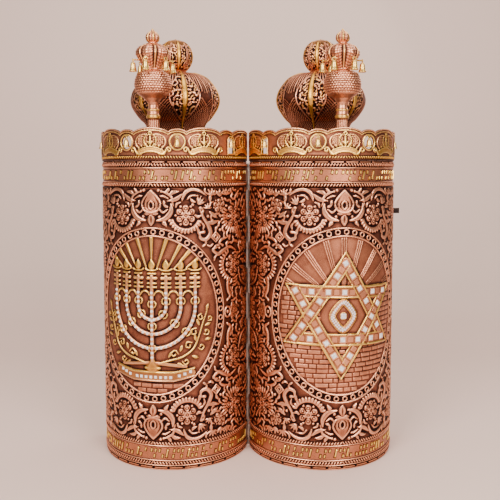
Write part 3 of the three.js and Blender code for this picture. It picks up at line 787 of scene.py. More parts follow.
def block_stamp(sides=4, top=0.86, least=0.25, most=1.0):
    """A block with sloping sides: a brick, a cut stone or, with many sides, a stud"""

    def stamp(tree, given):
        cone = node(tree, "GeometryNodeMeshCone", {
            "Vertices": sides, "Radius Top": top * HALF_DIAGONAL, "Radius Bottom": HALF_DIAGONAL, "Depth": 1.0,
        })
        square = node(tree, "GeometryNodeTransform", {
            "Geometry": cone.outputs["Mesh"], "Rotation": (0, 0, math.pi / 4),
        })
        size = node(tree, "ShaderNodeCombineXYZ", {
            "X": given.outputs["Width"], "Y": given.outputs["Height"], "Z": given.outputs["Rise"],
        })
        block = node(tree, "GeometryNodeTransform", {
            "Geometry": square.outputs["Geometry"], "Scale": size.outputs["Vector"],
        })
        marked = foot_shade_and_top_wear(tree, block.outputs["Geometry"], given.outputs["Rise"], least, most)
        hard = node(tree, "GeometryNodeSetShadeSmooth", {"Geometry": marked, "Shade Smooth": False})
        return hard.outputs["Geometry"]

    return stamp


ROPE_PITCH = 5.5
ROPE_LEAN = math.radians(38)
# Share of the half turn that a rope fills, so that its ends stay clear of the cut edges
ROPE_SPAN = 0.984
BRICKS = 16


def rope_seats(side, r, z, pitch=ROPE_PITCH, lean=ROPE_LEAN):
    """Strands along a half; the twist runs the other way past the panel's middle"""
    count = round(math.pi * r / pitch / 2)
    seats = []
    for i in range(-count, count):
        angle = (i + 0.5) * math.pi / 2 / count
        seats.append(seat(side, angle * ROPE_SPAN, r, z, spin=lean if i >= 0 else -lean))
    return seats


def brick_seats(side, z):
    """Bricks end to end along a half"""
    return [seat(side, math.radians(-90 + (i + 0.5) * 180 / BRICKS), DRUM_R - 0.3, z) for i in range(BRICKS)]


STROKE_PITCH = 7.4
STROKE_LEAN = 0.22
STROKE_LIFT = 5.2
GROUP_GAP = 4.5


def stroke_seats(side, z, seed):
    """Separate leaning strokes in uneven groups: whole ones, short ones high or low, and pairs"""
    draw = np.random.default_rng(seed)
    seats, scales = [], []
    at, left_in_group = -0.95 * half_arc, 4
    while at < 0.95 * half_arc:
        kind = draw.integers(0, 4)
        tall = 1.0 if kind == 0 else 0.4
        for step in ((0,), (1,), (-1,), (-1, 1))[kind]:
            lift = step * STROKE_LIFT
            angle = (at + STROKE_LEAN * lift) / DRUM_R
            seats.append(seat(side, angle, DRUM_R - 0.4, z + lift, spin=-STROKE_LEAN))
            scales.append((1.0, tall, 1.0))
        at += STROKE_PITCH
        left_in_group -= 1
        if left_in_group == 0:
            at += GROUP_GAP
            left_in_group = int(draw.integers(3, 6))
    return seats, scales


def gold_lacquer():
    """Gold lacquer brushed over raised copper: warm and bright, browned towards the foot by painted shade"""
    made, tree = new_material("gold_lacquer")
    place = node(tree, "ShaderNodeTexCoord")
    brush = node(tree, "ShaderNodeTexNoise", {"Vector": place.outputs["Object"], "Scale": 260.0, "Detail": 4.0})
    wear_and_shade = node(tree, "ShaderNodeAttribute", attribute_name="wear_and_shade")
    patch = node(tree, "ShaderNodeMapRange", {"Value": brush.outputs["Fac"], "To Min": -0.2, "To Max": 0.2})
    level = node(tree, "ShaderNodeMath", {0: wear_and_shade.outputs["Fac"], 1: patch.outputs["Result"]}, operation="ADD")
    tone = ramp(tree, level.outputs["Value"],
                [(0.1, "#4A240E"), (0.35, "#A86E2A"), (0.62, "#DCA044"), (0.92, "#FAD070")])
    rough = node(tree, "ShaderNodeMapRange", {"Value": brush.outputs["Fac"], "To Min": 0.26, "To Max": 0.42})
    bump = node(tree, "ShaderNodeBump", {"Height": brush.outputs["Fac"], "Strength": 0.15, "Distance": 0.0003})
    surface(tree, tone, rough.outputs["Result"], bump)
    return made


gold = gold_lacquer()
ROPES_Z = (12.8, 49.0, 513.4, 549.0)
for side in HALVES:
    body = f"{side}_half"
    seats = [s for z in ROPES_Z for s in rope_seats(side, DRUM_R + 0.1, z)]
    repeats(f"{side}_ropes", body, strand, seats, embossed,
            **{"Half width": 1.75, "Half length": 4.3, "Rise": 2.3})
    seats = [s for z in (4.7, 553.7) for s in brick_seats(side, z)]
    repeats(f"{side}_bricks", body, block_stamp(least=0.1, most=0.66), seats, embossed,
            Width=24.8, Height=2.1, Rise=1.5)
    for which, z, seed in (("lower", 30.9, 11), ("upper", 530.7, 12)):
        seats, scales = stroke_seats(side, z, seed + (5 if side == "left" else 0))
        repeats(f"{side}_{which}_strokes", body, block_stamp(top=0.66), seats, gold, scales,
                Width=3.6, Height=17.5, Rise=1.9)
        # a slightly larger block of near-black copper under each stroke: a painted shadow round it
        shadow_scales = [(x + 0.5, y + 0.11, z1) for x, y, z1 in scales]
        repeats(f"{side}_{which}_stroke_edges", body, block_stamp(least=0.0, most=0.0), seats, embossed, shadow_scales,
                Width=3.6, Height=17.5, Rise=0.62)

# --- Medallions ---------------------------------------------------------------------------
# An oval plate of copper on each panel, framed by a channel of small rings between two beads.
# The left one shows a lamp of seven branches, the right one two crossed triangles set with
# crystals. Both stand on masonry under a burst of rays.

MEDAL_STEP = 1.02
MEDAL_R = DRUM_R + 0.6
RING_BAND = 17.5
MEDAL_RISE = 2.4


def oval(inset, count=120):
    """A closed line that runs an inset inside the medallion's edge"""
    a = np.linspace(0, 2 * math.pi, count + 1)
    return np.stack([(MEDAL_HALF_W - inset) * np.cos(a), MIDDLE_Z + (MEDAL_HALF_H - inset) * np.sin(a)], -1)


def draw_frame(work):
    """The two beaded edges of the ring channel"""
    work.stroke(oval(1.7), [1.6], 1.9, straight=True)
    work.stroke(oval(RING_BAND - 1.5), [1.4], 1.9, straight=True)


def within_oval(u, z, inset):
    """Whether points lie inside the medallion's edge, drawn in by an inset"""
    return (u / (MEDAL_HALF_W - inset)) ** 2 + ((z - MIDDLE_Z) / (MEDAL_HALF_H - inset)) ** 2 < 1


def ray_reach(turn, foot):
    """How far a ray runs, from its foot on the centre line to the ring channel"""
    far = 0.0
    while within_oval(math.sin(turn) * far, foot + math.cos(turn) * far, RING_BAND + 2.5):
        far += 0.5
    return far


def draw_masonry(work, top, bottom, course, widths, wall, seed):
    """Courses of rough stones of uneven width, with thin joints between"""
    draw = np.random.default_rng(seed)
    for z in np.arange(bottom, top - 0.5 * course, course):
        u = -140 + draw.uniform(0, 10)
        while u < 140:
            wide = draw.uniform(*widths)
            if wall(u + wide / 2, z + course / 2):
                work.slab(u + 0.5, u + wide - 0.5, z + 0.5, z + course - 0.5, draw.uniform(0.9, 1.4))
            u += wide


BRANCHES = (25.8, 51.6, 77.4)
ARC_Z = 300.0


def clasp(work, u, z, degrees):
    """Two gold curls that hug a branch from either side of its line"""
    for side in (90, 270):
        curl = circle(u, z, 7.2, 9, degrees + side - 52, degrees + side + 52)
        work.stroke(curl, [0.9, 1.6, 0.9], 2.4, 1.0)


def draw_lamp(work):
    """A lamp of seven branches on a platform, with vines at its foot and rays over its flames"""
    rays = [(0, 380, 0, 423), (9.5, 366, 28, 420), (31, 370, 53, 411), (40, 366, 69, 398), (62, 368, 84, 384)]
    for u0, z0, u1, z1 in rays:
        for m in (-1, 1):
            work.stroke([(m * u0, z0), (m * u1, z1)], [1.2, 4.4], 1.6, 0.95, flat=0.5, straight=True)
    # paving under the platform, and the platform's three faces
    draw_masonry(work, 160, 133, 8.6, (13, 22), lambda u, z: within_oval(u, z, 20), 3)
    face = [(-75, 172), (-38, 164), (38, 164), (75, 172)]
    work.stroke([(-70, 178), (-38, 172), (38, 172), (70, 178)], [8], 1.5, 0.35, flat=0.8, over=True, straight=True)
    work.stroke(face, [1.6], 2.4, 0.2, straight=True)
    work.stroke([(-75, 186), (-38, 179.5), (38, 179.5), (75, 186)], [1.9], 2.6, 1.0, straight=True)
    work.stroke([(-60, 190), (0, 196), (60, 190)], [3.2], 1.6, 0.25, flat=0.7)
    # foot of the stem
    work.stroke([(0, 187), (0, 192), (0, 200), (0, 207)], [15, 10, 5, 3.5], 2.2, 0.7, flat=0.5)
    work.stroke([(-13, 187), (13, 187)], [2], 2.5, 1.0)
    # vine scrollwork between the branches and the foot
    for m in (-1, 1):
        vine = [(12, 196), (34, 202), (55, 208), (74, 222), (84, 244), (92, 268), (100, 290)]
        work.stroke([(m * u, z) for u, z in vine], [1.3, 1.7, 1.7, 1.7, 1.5, 1.2, 0.8], 2.0, 1.0)
        for u, z, r, a in ((40, 213, 7, 0), (60, 199, 6, 180), (66, 228, 7, 40), (88, 224, 6, 200),
                           (76, 252, 7, 60), (98, 250, 6, 220), (88, 278, 6, 80), (104, 274, 5, 240)):
            spiral = [(m * (u + r * f * math.cos(math.radians(a + t))), z + r * f * math.sin(math.radians(a + t)))
                      for t, f in ((0, 1), (80, 0.95), (160, 0.85), (240, 0.6), (320, 0.3))]
            work.stroke(spiral, [0.8, 1.3, 1.3, 1.2, 1.4], 2.0, 1.0)
        for u, z, a in ((50, 218, 70), (72, 208, -20), (78, 236, 100), (96, 236, 10), (84, 264, 110), (98, 290, 70),
                        (30, 208, 60), (46, 196, -30), (96, 262, 20)):
            work.leaf(m * u, z, 11, 5.5, a if m > 0 else 180 - a, 2.0, gilt=1.0)
    # stem and branches, beaded with gold cups
    work.stroke([(0, 200), (0, 352)], [3.7], 2.6, 0.2, straight=True)
    for r in BRANCHES:
        bow = circle(0, ARC_Z, r, count=24, start=180, end=360)
        work.stroke(bow, [3.6], 2.5, 0.2)
        for m in (-1, 1):
            work.stroke([(m * r, ARC_Z - 2), (m * r, 352)], [3.6], 2.5, 0.2, straight=True)
            clasp(work, m * r, 308, 90)
        for a in (-38, -142):
            u, z = r * math.cos(math.radians(a)), ARC_Z + r * math.sin(math.radians(a))
            clasp(work, u, z, a + 90)
    for z in (302, 262, 222):
        clasp(work, 0, z, 90)
    # the cups, saucers and flames
    discs = [(333, 10, 2, 0.95), (340, 9.5, 2, 0.95), (349, 10.5, 3.2, 0.5), (357, 8.5, 1.7, 0.95)]
    for u in [0, *BRANCHES, *[-b for b in BRANCHES]]:
        for z, half, thick, shade in discs:
            work.stroke([(u - half + thick, z), (u + half - thick, z)], [thick], 2.5, shade)
        work.stroke([(u - 11, 365.5), (u - 6, 363.2), (u, 362.6), (u + 6, 363.2), (u + 11, 365.5)], [1.4], 2.6, 1.0)
        work.stroke([(u, 369), (u, 372), (u, 376), (u, 382)], [5.2, 6.3, 4.2, 0.6], 2.6, 1.0)
    # swags that hang from branch to branch
    marks = sorted([0, *BRANCHES, *[-b for b in BRANCHES]])
    for a, b in zip(marks, marks[1:]):
        arch = [(a + 4, 318), (a + 7, 323.5), ((a + b) / 2, 326), (b - 7, 323.5), (b - 4, 318)]
        work.stroke(arch, [1.2, 1.6, 1.6, 1.6, 1.2], 2.0, 1.0)


STAR_UP, STAR_SIDE, STAR_HALF = 114.0, 106.5, 53.0
BAR_HALF = 10.5
STAR_TURN = math.radians(-1.8)
LOZENGE = [(0, 306), (12, 296), (20, 281), (12, 266), (0, 256), (-12, 266), (-20, 281), (-12, 296)]


def star_corners(way):
    """Corners of one triangle, standing (1) or hanging (-1)"""
    cos, sin = math.cos(STAR_TURN), math.sin(STAR_TURN)
    corners = [(0, way * STAR_UP), (STAR_SIDE, -way * STAR_HALF), (-STAR_SIDE, -way * STAR_HALF)]
    return [np.array([u * cos - z * sin, MIDDLE_Z + u * sin + z * cos]) for u, z in corners]


def inner_corners(corners, inset):
    """The triangle whose sides lie an inset inside those of another"""
    made = []
    for i in range(3):
        a, b, c = corners[i], corners[(i + 1) % 3], corners[(i + 2) % 3]
        ab, ac = (b - a) / np.linalg.norm(b - a), (c - a) / np.linalg.norm(c - a)
        half = math.acos(np.dot(ab, ac)) / 2
        bisector = (ab + ac) / np.linalg.norm(ab + ac)
        made.append(a + bisector * inset / math.sin(half))
    return made


def draw_bar(work, a, b, over):
    """A flat bar with a gold bead along each edge"""
    along = (b - a) / np.linalg.norm(b - a)
    across = np.array([-along[1], along[0]])
    work.stroke([a, b], [BAR_HALF], 1.4, 0.1, flat=0.9, over=over, straight=True)
    for m in (-1, 1):
        edge = across * m * (BAR_HALF - 1.4)
        work.stroke([a + edge, b + edge], [1.5], 2.5, 1.0, over=over, straight=True)


def draw_star(work):
    """Two crossed triangles on masonry under rays of three lines, round a plain lozenge"""
    for turn in np.radians((-68, -52, -35, -16, 0, 16, 35, 52, 68)):
        sin, cos = math.sin(turn), math.cos(turn)
        far = ray_reach(turn, 300)
        for lane in (-1, 0, 1):
            ends = [(sin * d + lane * apart * cos, 300 + cos * d - lane * apart * sin)
                    for d, apart in ((36 / cos, 2.4), (far, 4.2))]
            work.stroke(ends, [0.8, 1.2], 1.3, flat=0.4, straight=True)
    draw_masonry(work, 333, 126, 8.6, (9, 25),
                 lambda u, z: within_oval(u, z, 20) and math.hypot(u, z - MIDDLE_Z) > 51, 4)
    middles = {way: inner_corners(star_corners(way), BAR_HALF) for way in (1, -1)}
    for way in (1, -1):
        corners = middles[way]
        for i in range(3):
            draw_bar(work, corners[i], corners[(i + 1) % 3], over=True)
    # each standing side passes back over one hanging side
    for i in range(3):
        a, b = middles[1][i], middles[1][(i + 1) % 3]
        draw_bar(work, a + (b - a) * 0.24, a + (b - a) * 0.42, over=True)
    for way in (1, -1):
        outer = star_corners(way)
        work.stroke([*outer, outer[0]], [1.5], 2.5, 1.0, straight=True)
    # the panel in the middle of the star: a plain lozenge set with small stones
    lozenge = smooth_path(LOZENGE, closed=True, fine=2.0)
    work.stroke(lozenge, [6.2], 2.4, 1.0, straight=True)
    work.stroke(lozenge, [4.6], 1.5, 0.0, over=True, flat=0.8, straight=True)
    work.stroke([(0, 281)], [7], 2.4, 1.0)
    work.stroke([(0, 281)], [5.2], 1.5, 0.0, over=True, flat=0.8)


def medal_grid():
    """An oval cut from an even grid, with its rim drawn in to the true oval"""
    cols, lines = round(2 * MEDAL_HALF_W / MEDAL_STEP), round(2 * MEDAL_HALF_H / MEDAL_STEP)
    u, z = grid_of(np.linspace(-MEDAL_HALF_W, MEDAL_HALF_W, cols + 1),
                   np.linspace(-MEDAL_HALF_H, MEDAL_HALF_H, lines + 1))
    far = np.hypot(u / MEDAL_HALF_W, z / MEDAL_HALF_H).reshape(lines + 1, cols + 1)
    within = far <= 1.0
    keep = within[:-1, :-1] & within[1:, :-1] & within[:-1, 1:] & within[1:, 1:]
    quads = grid_quads(keep)
    rim = np.unique(edge_walls(quads))
    stretch = far.ravel()[rim]
    u[rim] /= stretch
    z[rim] /= stretch
    inside = np.nonzero(keep.any(0))[0]
    low = [int(np.argmax(keep[:, c])) for c in inside]
    high = [int(lines - np.argmax(keep[::-1, c])) for c in inside]
    wide = cols + 1
    back = [[k * wide + c + inside[0] for k, c in p] for p in strips(low, high)]
    return u, z + MIDDLE_Z, (lines + 1, cols + 1), quads, back


medal_u, medal_z, medal_shape, quads, back = medal_grid()
used, front = np.unique(quads, return_inverse=True)
front = front.reshape(-1, 4)
rim, walls, back = backed(front, [np.searchsorted(used, p) for p in back], len(used))
rim = used[rim]
for side, draw_emblem in (("left", draw_lamp), ("right", draw_star)):
    work = Relief(medal_u, medal_z)
    draw_emblem(work)
    band = ~within_oval(medal_u, medal_z, RING_BAND)
    work.h[band] = 0
    work.gilt[band] = 0
    draw_frame(work)
    wear_and_shade = wear(work.h, medal_shape, RUB_REACH, MEDAL_RISE, 0.42 if side == "left" else 0.5)
    wear_and_shade = np.where(band & (work.h < 0.2), 0.03, wear_and_shade)
    u, z = (np.concatenate([way[used], way[rim]]) for way in (medal_u, medal_z))
    r = np.concatenate([MEDAL_R + work.h[used], np.full(len(rim), FIELD_BACK_R)])
    layers = {"wear_and_shade": np.concatenate([wear_and_shade[used], np.full(len(rim), HIDDEN_WORN)]),
              "gilt": np.concatenate([work.gilt[used], np.zeros(len(rim))])}
    piece(f"{side}_medallion", f"{side}_half", round_axis(side, r, u / DRUM_R, z),
          np.concatenate([front, walls]), embossed, back, layers)

# --- Rings and stones of the medallions ---------------------------------------------------
# Small cast rings are soldered in the dark channel of each frame. Round paste stones sit in
# the lamp's branches, and square ones, with copper tiles between, in the bars of the star.


def ring_stamp(tree, given):
    """A ring lying flat, round in section"""
    hoop = node(tree, "GeometryNodeCurvePrimitiveCircle", {"Resolution": 14, "Radius": given.outputs["Radius"]})
    wire = node(tree, "GeometryNodeCurvePrimitiveCircle", {"Resolution": 6, "Radius": given.outputs["Wire"]})
    tube = node(tree, "GeometryNodeCurveToMesh", {
        "Curve": hoop.outputs["Curve"], "Profile Curve": wire.outputs["Curve"],
    })
    return foot_shade_and_top_wear(tree, tube.outputs["Mesh"], given.outputs["Wire"], 0.25)


def along(points, pitch, start=0.5):
    """Places a pitch apart along a line, with the line's direction at each"""
    points = np.asarray(points, float)
    steps = np.linalg.norm(np.diff(points, axis=0), axis=1)
    run = np.concatenate([[0], np.cumsum(steps)])
    count = max(1, round(run[-1] / pitch))
    made = []
    for d in (np.arange(count) + start) * run[-1] / count:
        here = np.array([np.interp(d, run, points[:, i]) for i in (0, 1)])
        ahead = np.array([np.interp(min(d + 0.5, run[-1]), run, points[:, i]) for i in (0, 1)])
        behind = np.array([np.interp(max(d - 0.5, 0), run, points[:, i]) for i in (0, 1)])
        made.append((*here, math.atan2(*(ahead - behind)[::-1])))
    return made


def paste_stone():
    """Foil-backed paste: white, hard and glossy, with painted sparkle for the light passing into it"""
    made, tree = new_material("paste_stone")
    place = node(tree, "ShaderNodeTexCoord")
    # painted sparkle: a cellular tone from white to pale grey for flashes of light in the stone
    painted_sparkle = node(tree, "ShaderNodeTexVoronoi", {"Vector": place.outputs["Object"], "Scale": 260.0})
    tone = ramp(tree, painted_sparkle.outputs["Distance"], [(0.0, "#FFFFFF"), (1.0, "#C9C4C2")])
    skin = node(tree, "ShaderNodeBsdfPrincipled", {
        "Base Color": tone, "Roughness": 0.06, "IOR": 1.6, "Coat Weight": 0.6,
    })
    node(tree, "ShaderNodeOutputMaterial", {"Surface": skin.outputs["BSDF"]})
    return made


stone = paste_stone()
RING_PITCH = 15.9
RING_INSET = 8.8
for side in HALVES:
    rings = [seat(side, u / DRUM_R, MEDAL_R + 0.35, z) for u, z, _ in along(oval(RING_INSET), RING_PITCH)]
    repeats(f"{side}_frame_rings", f"{side}_half", ring_stamp, rings, embossed, Radius=4.1, Wire=1.45)

lamp_lines = [np.array([(0, 202), (0, 327)])]
for r in BRANCHES:
    bow = circle(0, ARC_Z, r, count=40, start=180, end=360)
    lamp_lines.append(np.array([(-r, 327), *bow, (r, 327)]))
gems = [s for line in lamp_lines for s in along(line, 8.5)]
gem_seats = [seat("left", u / DRUM_R, MEDAL_R + 2.0, z) for u, z, _ in gems]
repeats("left_lamp_stones", "left_half", block_stamp(8, 0.6), gem_seats, stone,
        Width=4.1, Height=4.1, Rise=1.4)
base_rows = [(-62, 179), (-54, 176), (-45, 172.5), (48, 173.5), (58, 176.5), (68, 180)]
base_rows += [(-30 + 9 * i, 170.5) for i in range(8)]
base_seats = [seat("left", u / DRUM_R, MEDAL_R + 1.2, z) for u, z in base_rows]
repeats("left_base_stones", "left_half", block_stamp(4, 0.6), base_seats, stone,
        Width=5.6, Height=5.6, Rise=1.6)

BAR_STEPS = 6
crystal_seats, tile_seats = [], []
for way in (1, -1):
    corners = inner_corners(star_corners(way), BAR_HALF)
    for i in range(3):
        line = np.array([corners[i], corners[(i + 1) % 3]])
        pitch = np.linalg.norm(line[1] - line[0]) / BAR_STEPS
        # where two bars cross, only the upper one holds a stone
        for k, (u, z, spin) in enumerate(along(line, pitch, start=0.0)):
            if k != (4 if way == 1 else 2):
                crystal_seats.append(seat("right", u / DRUM_R, MEDAL_R + 1.3, z, spin=spin))
        for u, z, spin in along(line, pitch):
            tile_seats.append(seat("right", u / DRUM_R, MEDAL_R + 1.0, z, spin=spin))
repeats("right_star_stones", "right_half", block_stamp(4, 0.62), crystal_seats, stone,
        Width=10.2, Height=10.2, Rise=2.2)
repeats("right_star_collets", "right_half", block_stamp(4, 0.92, least=0.0, most=0.8), crystal_seats, embossed,
        Width=13.4, Height=13.4, Rise=0.9)
repeats("right_star_tiles", "right_half", block_stamp(4, 0.8, least=0.0, most=0.7), tile_seats, embossed,
        Width=11.5, Height=11.5, Rise=1.1)
pave = [(u + dx, z + dz) for u, z, _ in along(smooth_path(LOZENGE, closed=True, fine=2.0), 4.3)
        for dx, dz in ((1.5, 1.3), (-1.5, -1.3))]
pave += [(dx, 281 + dz) for dx in (-3, 0, 3) for dz in (-3, 0, 3)]
pave_seats = [seat("right", u / DRUM_R, MEDAL_R + 1.2, z) for u, z in pave]
repeats("right_star_pave", "right_half", block_stamp(6, 0.6), pave_seats, stone,
        Width=3.2, Height=3.2, Rise=1.2)

# --- Gallery ------------------------------------------------------------------------------
# A scalloped copper fence round each deck, chased with crowns and pierced by round and arched
# windows with gold frames. A gold rope lies round its foot.

GALLERY_R = 141.5
GALLERY_T = 3.0
GALLERY_Z = 556.6
VALLEY_Z = 606.3
CROWN_PITCH = 39.0
SMALL_HALF = 6.3
WINDOW_Z = 588.5
WINDOW_R = 11.7
ARCH_AT = 63.0
ARCH_OPEN = (569.6, 598.9, 6.6)
GALLERY_STEP = 1.0
GALLERY_ROPE_Z = 562.2
ROPE_SHADE_Z = 566.5


def scallop(degrees):
    """Height of the gallery's edge at an angle from the panel's middle"""
    from_crown = np.mod(degrees + CROWN_PITCH / 2, CROWN_PITCH) - CROWN_PITCH / 2
    from_window = CROWN_PITCH / 2 - np.abs(from_crown)

    def arch(t):
        return (np.sqrt(np.clip(1 - t * t * 0.9, 0, 1)) - math.sqrt(0.1)) / (1 - math.sqrt(0.1))

    small = VALLEY_Z + 5.4 * arch(from_window / SMALL_HALF)
    large = VALLEY_Z + 8.0 * arch(from_crown / (CROWN_PITCH / 2 - SMALL_HALF))
    return np.where(from_window < SMALL_HALF, small, large)


def draw_crown(work, at):
    """An arched band with ribbon ends, two studded lobes, two bowed arches, a fleur and a loop"""
    rise = 1.5
    for m in (-1, 1):
        ribbon = [(17, 568.5), (23, 567), (27, 571), (30, 577), (34.5, 579), (36.5, 574.5), (33, 571.5),
                  (31.5, 575)]
        work.stroke([(at + m * u, z) for u, z in ribbon], [2.2, 2.4, 1.8, 1.8, 1.6, 1.4, 1.2, 1.2], rise, 1.0)
        lobe = [(21, 577), (26.5, 584), (27, 592), (22, 599), (12, 602), (4, 600)]
        for a in np.arange(6.0, 26, 3.2):
            for z in np.arange(583.0, 600, 3.0):
                if (a - 13) ** 2 / 150 + (z - 590) ** 2 / 105 < 1:
                    work.dot(at + m * (a + 0.8 * (round(z / 3) % 2)), z, 1.35, 0.9, 0.25)
        work.stroke([(at + m * u, z) for u, z in lobe], [1.1, 1.2, 1.2, 1.1, 0.9, 0.8], 1.2, 0.45)
        bow = [(5, 581), (10.5, 588), (10, 596), (6, 602)]
        work.stroke([(at + m * u, z) for u, z in bow], [1.3, 1.3, 1.2, 0.9], rise, 1.0)
        work.leaf(at, 583, 9, 3.6, 90 - m * 32, rise, gilt=1.0)
        for u, z in ((16, 580.5), (22, 578), (10, 582)):
            work.dot(at + m * u, z + 1, 1.7, rise, 1.0)
    band = [(-22, 570.5), (-11, 574.6), (0, 576), (11, 574.6), (22, 570.5)]
    work.stroke([(at + u, z) for u, z in band], [4.6], 1.0, 0.85, flat=0.8)
    for lift in (-4, 4.2):
        work.stroke([(at + u, z + lift) for u, z in band], [1.1], rise, 1.0)
    for u in np.arange(-19.5, 20, 3.0):
        work.dot(at + u, 576 - 0.0114 * u * u, 1.3, 1.4, 1.0)
    work.stroke([(at, 581), (at, 588), (at, 594), (at, 600)], [1.5, 2.4, 1.5, 1.2], rise, 1.0)
    work.ring(at, 603.6, 2.7, 1.15, rise, 1.0)


# How far the end of a bell's peg lies below the top of its window
PEG_DROP = 3.6
# Angle of each window from the panel's middle, and the height of its top
WINDOWS = [(-ARCH_AT, ARCH_OPEN[1]), (-CROWN_PITCH / 2, WINDOW_Z + WINDOW_R),
           (CROWN_PITCH / 2, WINDOW_Z + WINDOW_R), (ARCH_AT, ARCH_OPEN[1])]


def round_distance(u, z):
    """How far a point lies outside a round window whose middle is at u = 0"""
    return np.hypot(u, z - WINDOW_Z) - WINDOW_R


def arch_distance(u, z):
    """How far a point lies outside an arched window whose middle is at u = 0"""
    low, high, half = ARCH_OPEN
    spring = high - half
    return np.where(z > spring, np.hypot(u, z - spring) - half, np.maximum(np.abs(u) - half, low - z))


gallery_arc = GALLERY_R * math.pi / 2
window_u = math.radians(CROWN_PITCH / 2) * GALLERY_R
arch_u = math.radians(ARCH_AT) * GALLERY_R
cols = 2 * round(gallery_arc / GALLERY_STEP)
lines = 56
g_u, g_t = grid_of(np.linspace(-gallery_arc, gallery_arc, cols + 1), np.linspace(0, 1, lines + 1))
# rows are level up to the crowns' tops, and from there they bend to the scallops
FULL, LEVEL = 615.0 - GALLERY_Z, 598.0
g_z = GALLERY_Z + g_t * FULL
g_top = scallop(np.degrees(g_u / GALLERY_R))
g_z = np.where(g_z > LEVEL, LEVEL + (g_z - LEVEL) * (g_top - LEVEL) / (GALLERY_Z + FULL - LEVEL), g_z)
pierced = np.zeros((lines, cols), bool)
# grid points next to a window are moved onto its edge, and the faces inside it are left out
for middle, distance in ((-window_u, round_distance), (window_u, round_distance),
                         (-arch_u, arch_distance), (arch_u, arch_distance)):
    d = distance(g_u - middle, g_z)
    slope_u = (distance(g_u - middle + 0.01, g_z) - d) / 0.01
    slope_z = (distance(g_u - middle, g_z + 0.01) - d) / 0.01
    close = np.abs(d) < 0.56 * GALLERY_STEP
    g_u, g_z = np.where(close, g_u - d * slope_u, g_u), np.where(close, g_z - d * slope_z, g_z)
    d = distance(g_u - middle, g_z).reshape(lines + 1, cols + 1)
    pierced |= (d[:-1, :-1] + d[1:, :-1] + d[:-1, 1:] + d[1:, 1:]) / 4 < 0
fence = Relief(g_u, g_z)
edge_angles = np.linspace(-90, 90, 361)
edge_line = np.stack([np.radians(edge_angles) * GALLERY_R, scallop(edge_angles)], -1)
fence.stroke(edge_line - [0, 1.4], [1.4], 1.3, 0.15, straight=True)
fence.stroke(edge_line - [0, 5.2], [1.2], 1.3, 0.75, straight=True)
for step in (-2, -1, 0, 1, 2):
    draw_crown(fence, math.radians(step * CROWN_PITCH) * GALLERY_R)
for m in (-1, 1):
    fence.stroke([(m * window_u, WINDOW_Z)], [WINDOW_R + 4.2], 0.4, 0.0, over=True, flat=0.95)
    fence.ring(m * window_u, WINDOW_Z, WINDOW_R + 1.5, 1.7, 1.5, 1.0)
    low, high, half = ARCH_OPEN
    grow = half + 1.3
    outline = [(-grow, low - 1), (-grow, high - half), *circle(0, high - half, grow, 14, 180, 0), (grow, low - 1)]
    fence.stroke([(m * arch_u + u, z) for u, z in outline], [1.4], 1.5, 1.0, straight=True)
    fence.stroke([(m * arch_u - grow, low - 1.2), (m * arch_u + grow, low - 1.2)], [1.6], 1.5, 1.0)
fence_wear_and_shade = wear(fence.h, (lines + 1, cols + 1), RUB_REACH, 1.5, 0.56)
# the foot behind its rope is painted dark: painted shade from the rope
fence_wear_and_shade = np.where(g_z < ROPE_SHADE_Z, np.minimum(fence_wear_and_shade, 0.2), fence_wear_and_shade)
front = grid_quads(~pierced)
count = len(g_u)
walls = edge_walls(front)
faces = np.concatenate([front, front[:, ::-1] + count,
                        np.stack([walls[:, 1], walls[:, 0], walls[:, 0] + count, walls[:, 1] + count], 1)])
kept, faces = np.unique(faces, return_inverse=True)
faces = faces.reshape(-1, 4)
fence_r = np.concatenate([GALLERY_R + fence.h * np.clip((gallery_arc - np.abs(g_u)) / 3, 0, 1),
                          np.full(count, GALLERY_R - GALLERY_T)])
fence_u, fence_z = np.tile(g_u, 2), np.tile(g_z, 2)
layers = {"wear_and_shade": np.concatenate([fence_wear_and_shade, np.full(count, 0.3)])[kept],
          "gilt": np.concatenate([fence.gilt, np.zeros(count)])[kept]}
for side in HALVES:
    body = f"{side}_half"
    piece(f"{side}_gallery_fence", body,
          round_axis(side, fence_r[kept], fence_u[kept] / GALLERY_R, fence_z[kept]), faces, embossed,
          layers=layers, replaces=[f"{side}_gallery"])
    ropes = rope_seats(side, GALLERY_R - 0.2, GALLERY_ROPE_Z, 5.0, math.radians(42))
    repeats(f"{side}_gallery_rope", body, strand, ropes, gold, slot="gallery",
            **{"Half width": 1.35, "Half length": 3.2, "Rise": 1.7})
    pegs = []
    for degrees, top in WINDOWS:
        for z in (top - PEG_DROP, top - 2.0, top - 0.4):
            pegs.append(seat(side, math.radians(degrees), GALLERY_R - 2.4, z))
    repeats(f"{side}_window_pegs", body, block_stamp(6, 0.9), pegs, gold, slot="gallery",
            Width=1.9, Height=1.9, Rise=3.4)

# --- Domes --------------------------------------------------------------------------------
# Half a bulb and half a small globe of raised copper sheet, open along the cut. Gold ribs
# divide them; leafwork fills pointed panels round the ribs, and a diamond net lies between.

DOME_FOOT = [(62, 556.6), (62, 562), (58, 566), (50, 572), (50, 590), (50, 606)]
DOME_BULB = [(50, 606), (58.5, 628), (68.2, 637.5), (77.3, 649.5), (83.4, 660), (86, 672.6), (82.6, 687.2),
             (74.4, 700.5), (61.6, 714), (44, 722.5), (32, 725)]
DOME_NECK = [(32, 725), (22, 726), (19.6, 727), (19.6, 728.6)]
GLOBE_R = 33.4
GLOBE_Z = 756.0
DOME_TOP = 791
DOME_STEP = 1.3
DOME_WALL = 3.0
DOME_BLOCK = 8
# Radii in mm at which the relief of the two balls is drawn
BULB_DRAWN_R = 80.0
GLOBE_DRAWN_R = 32.0


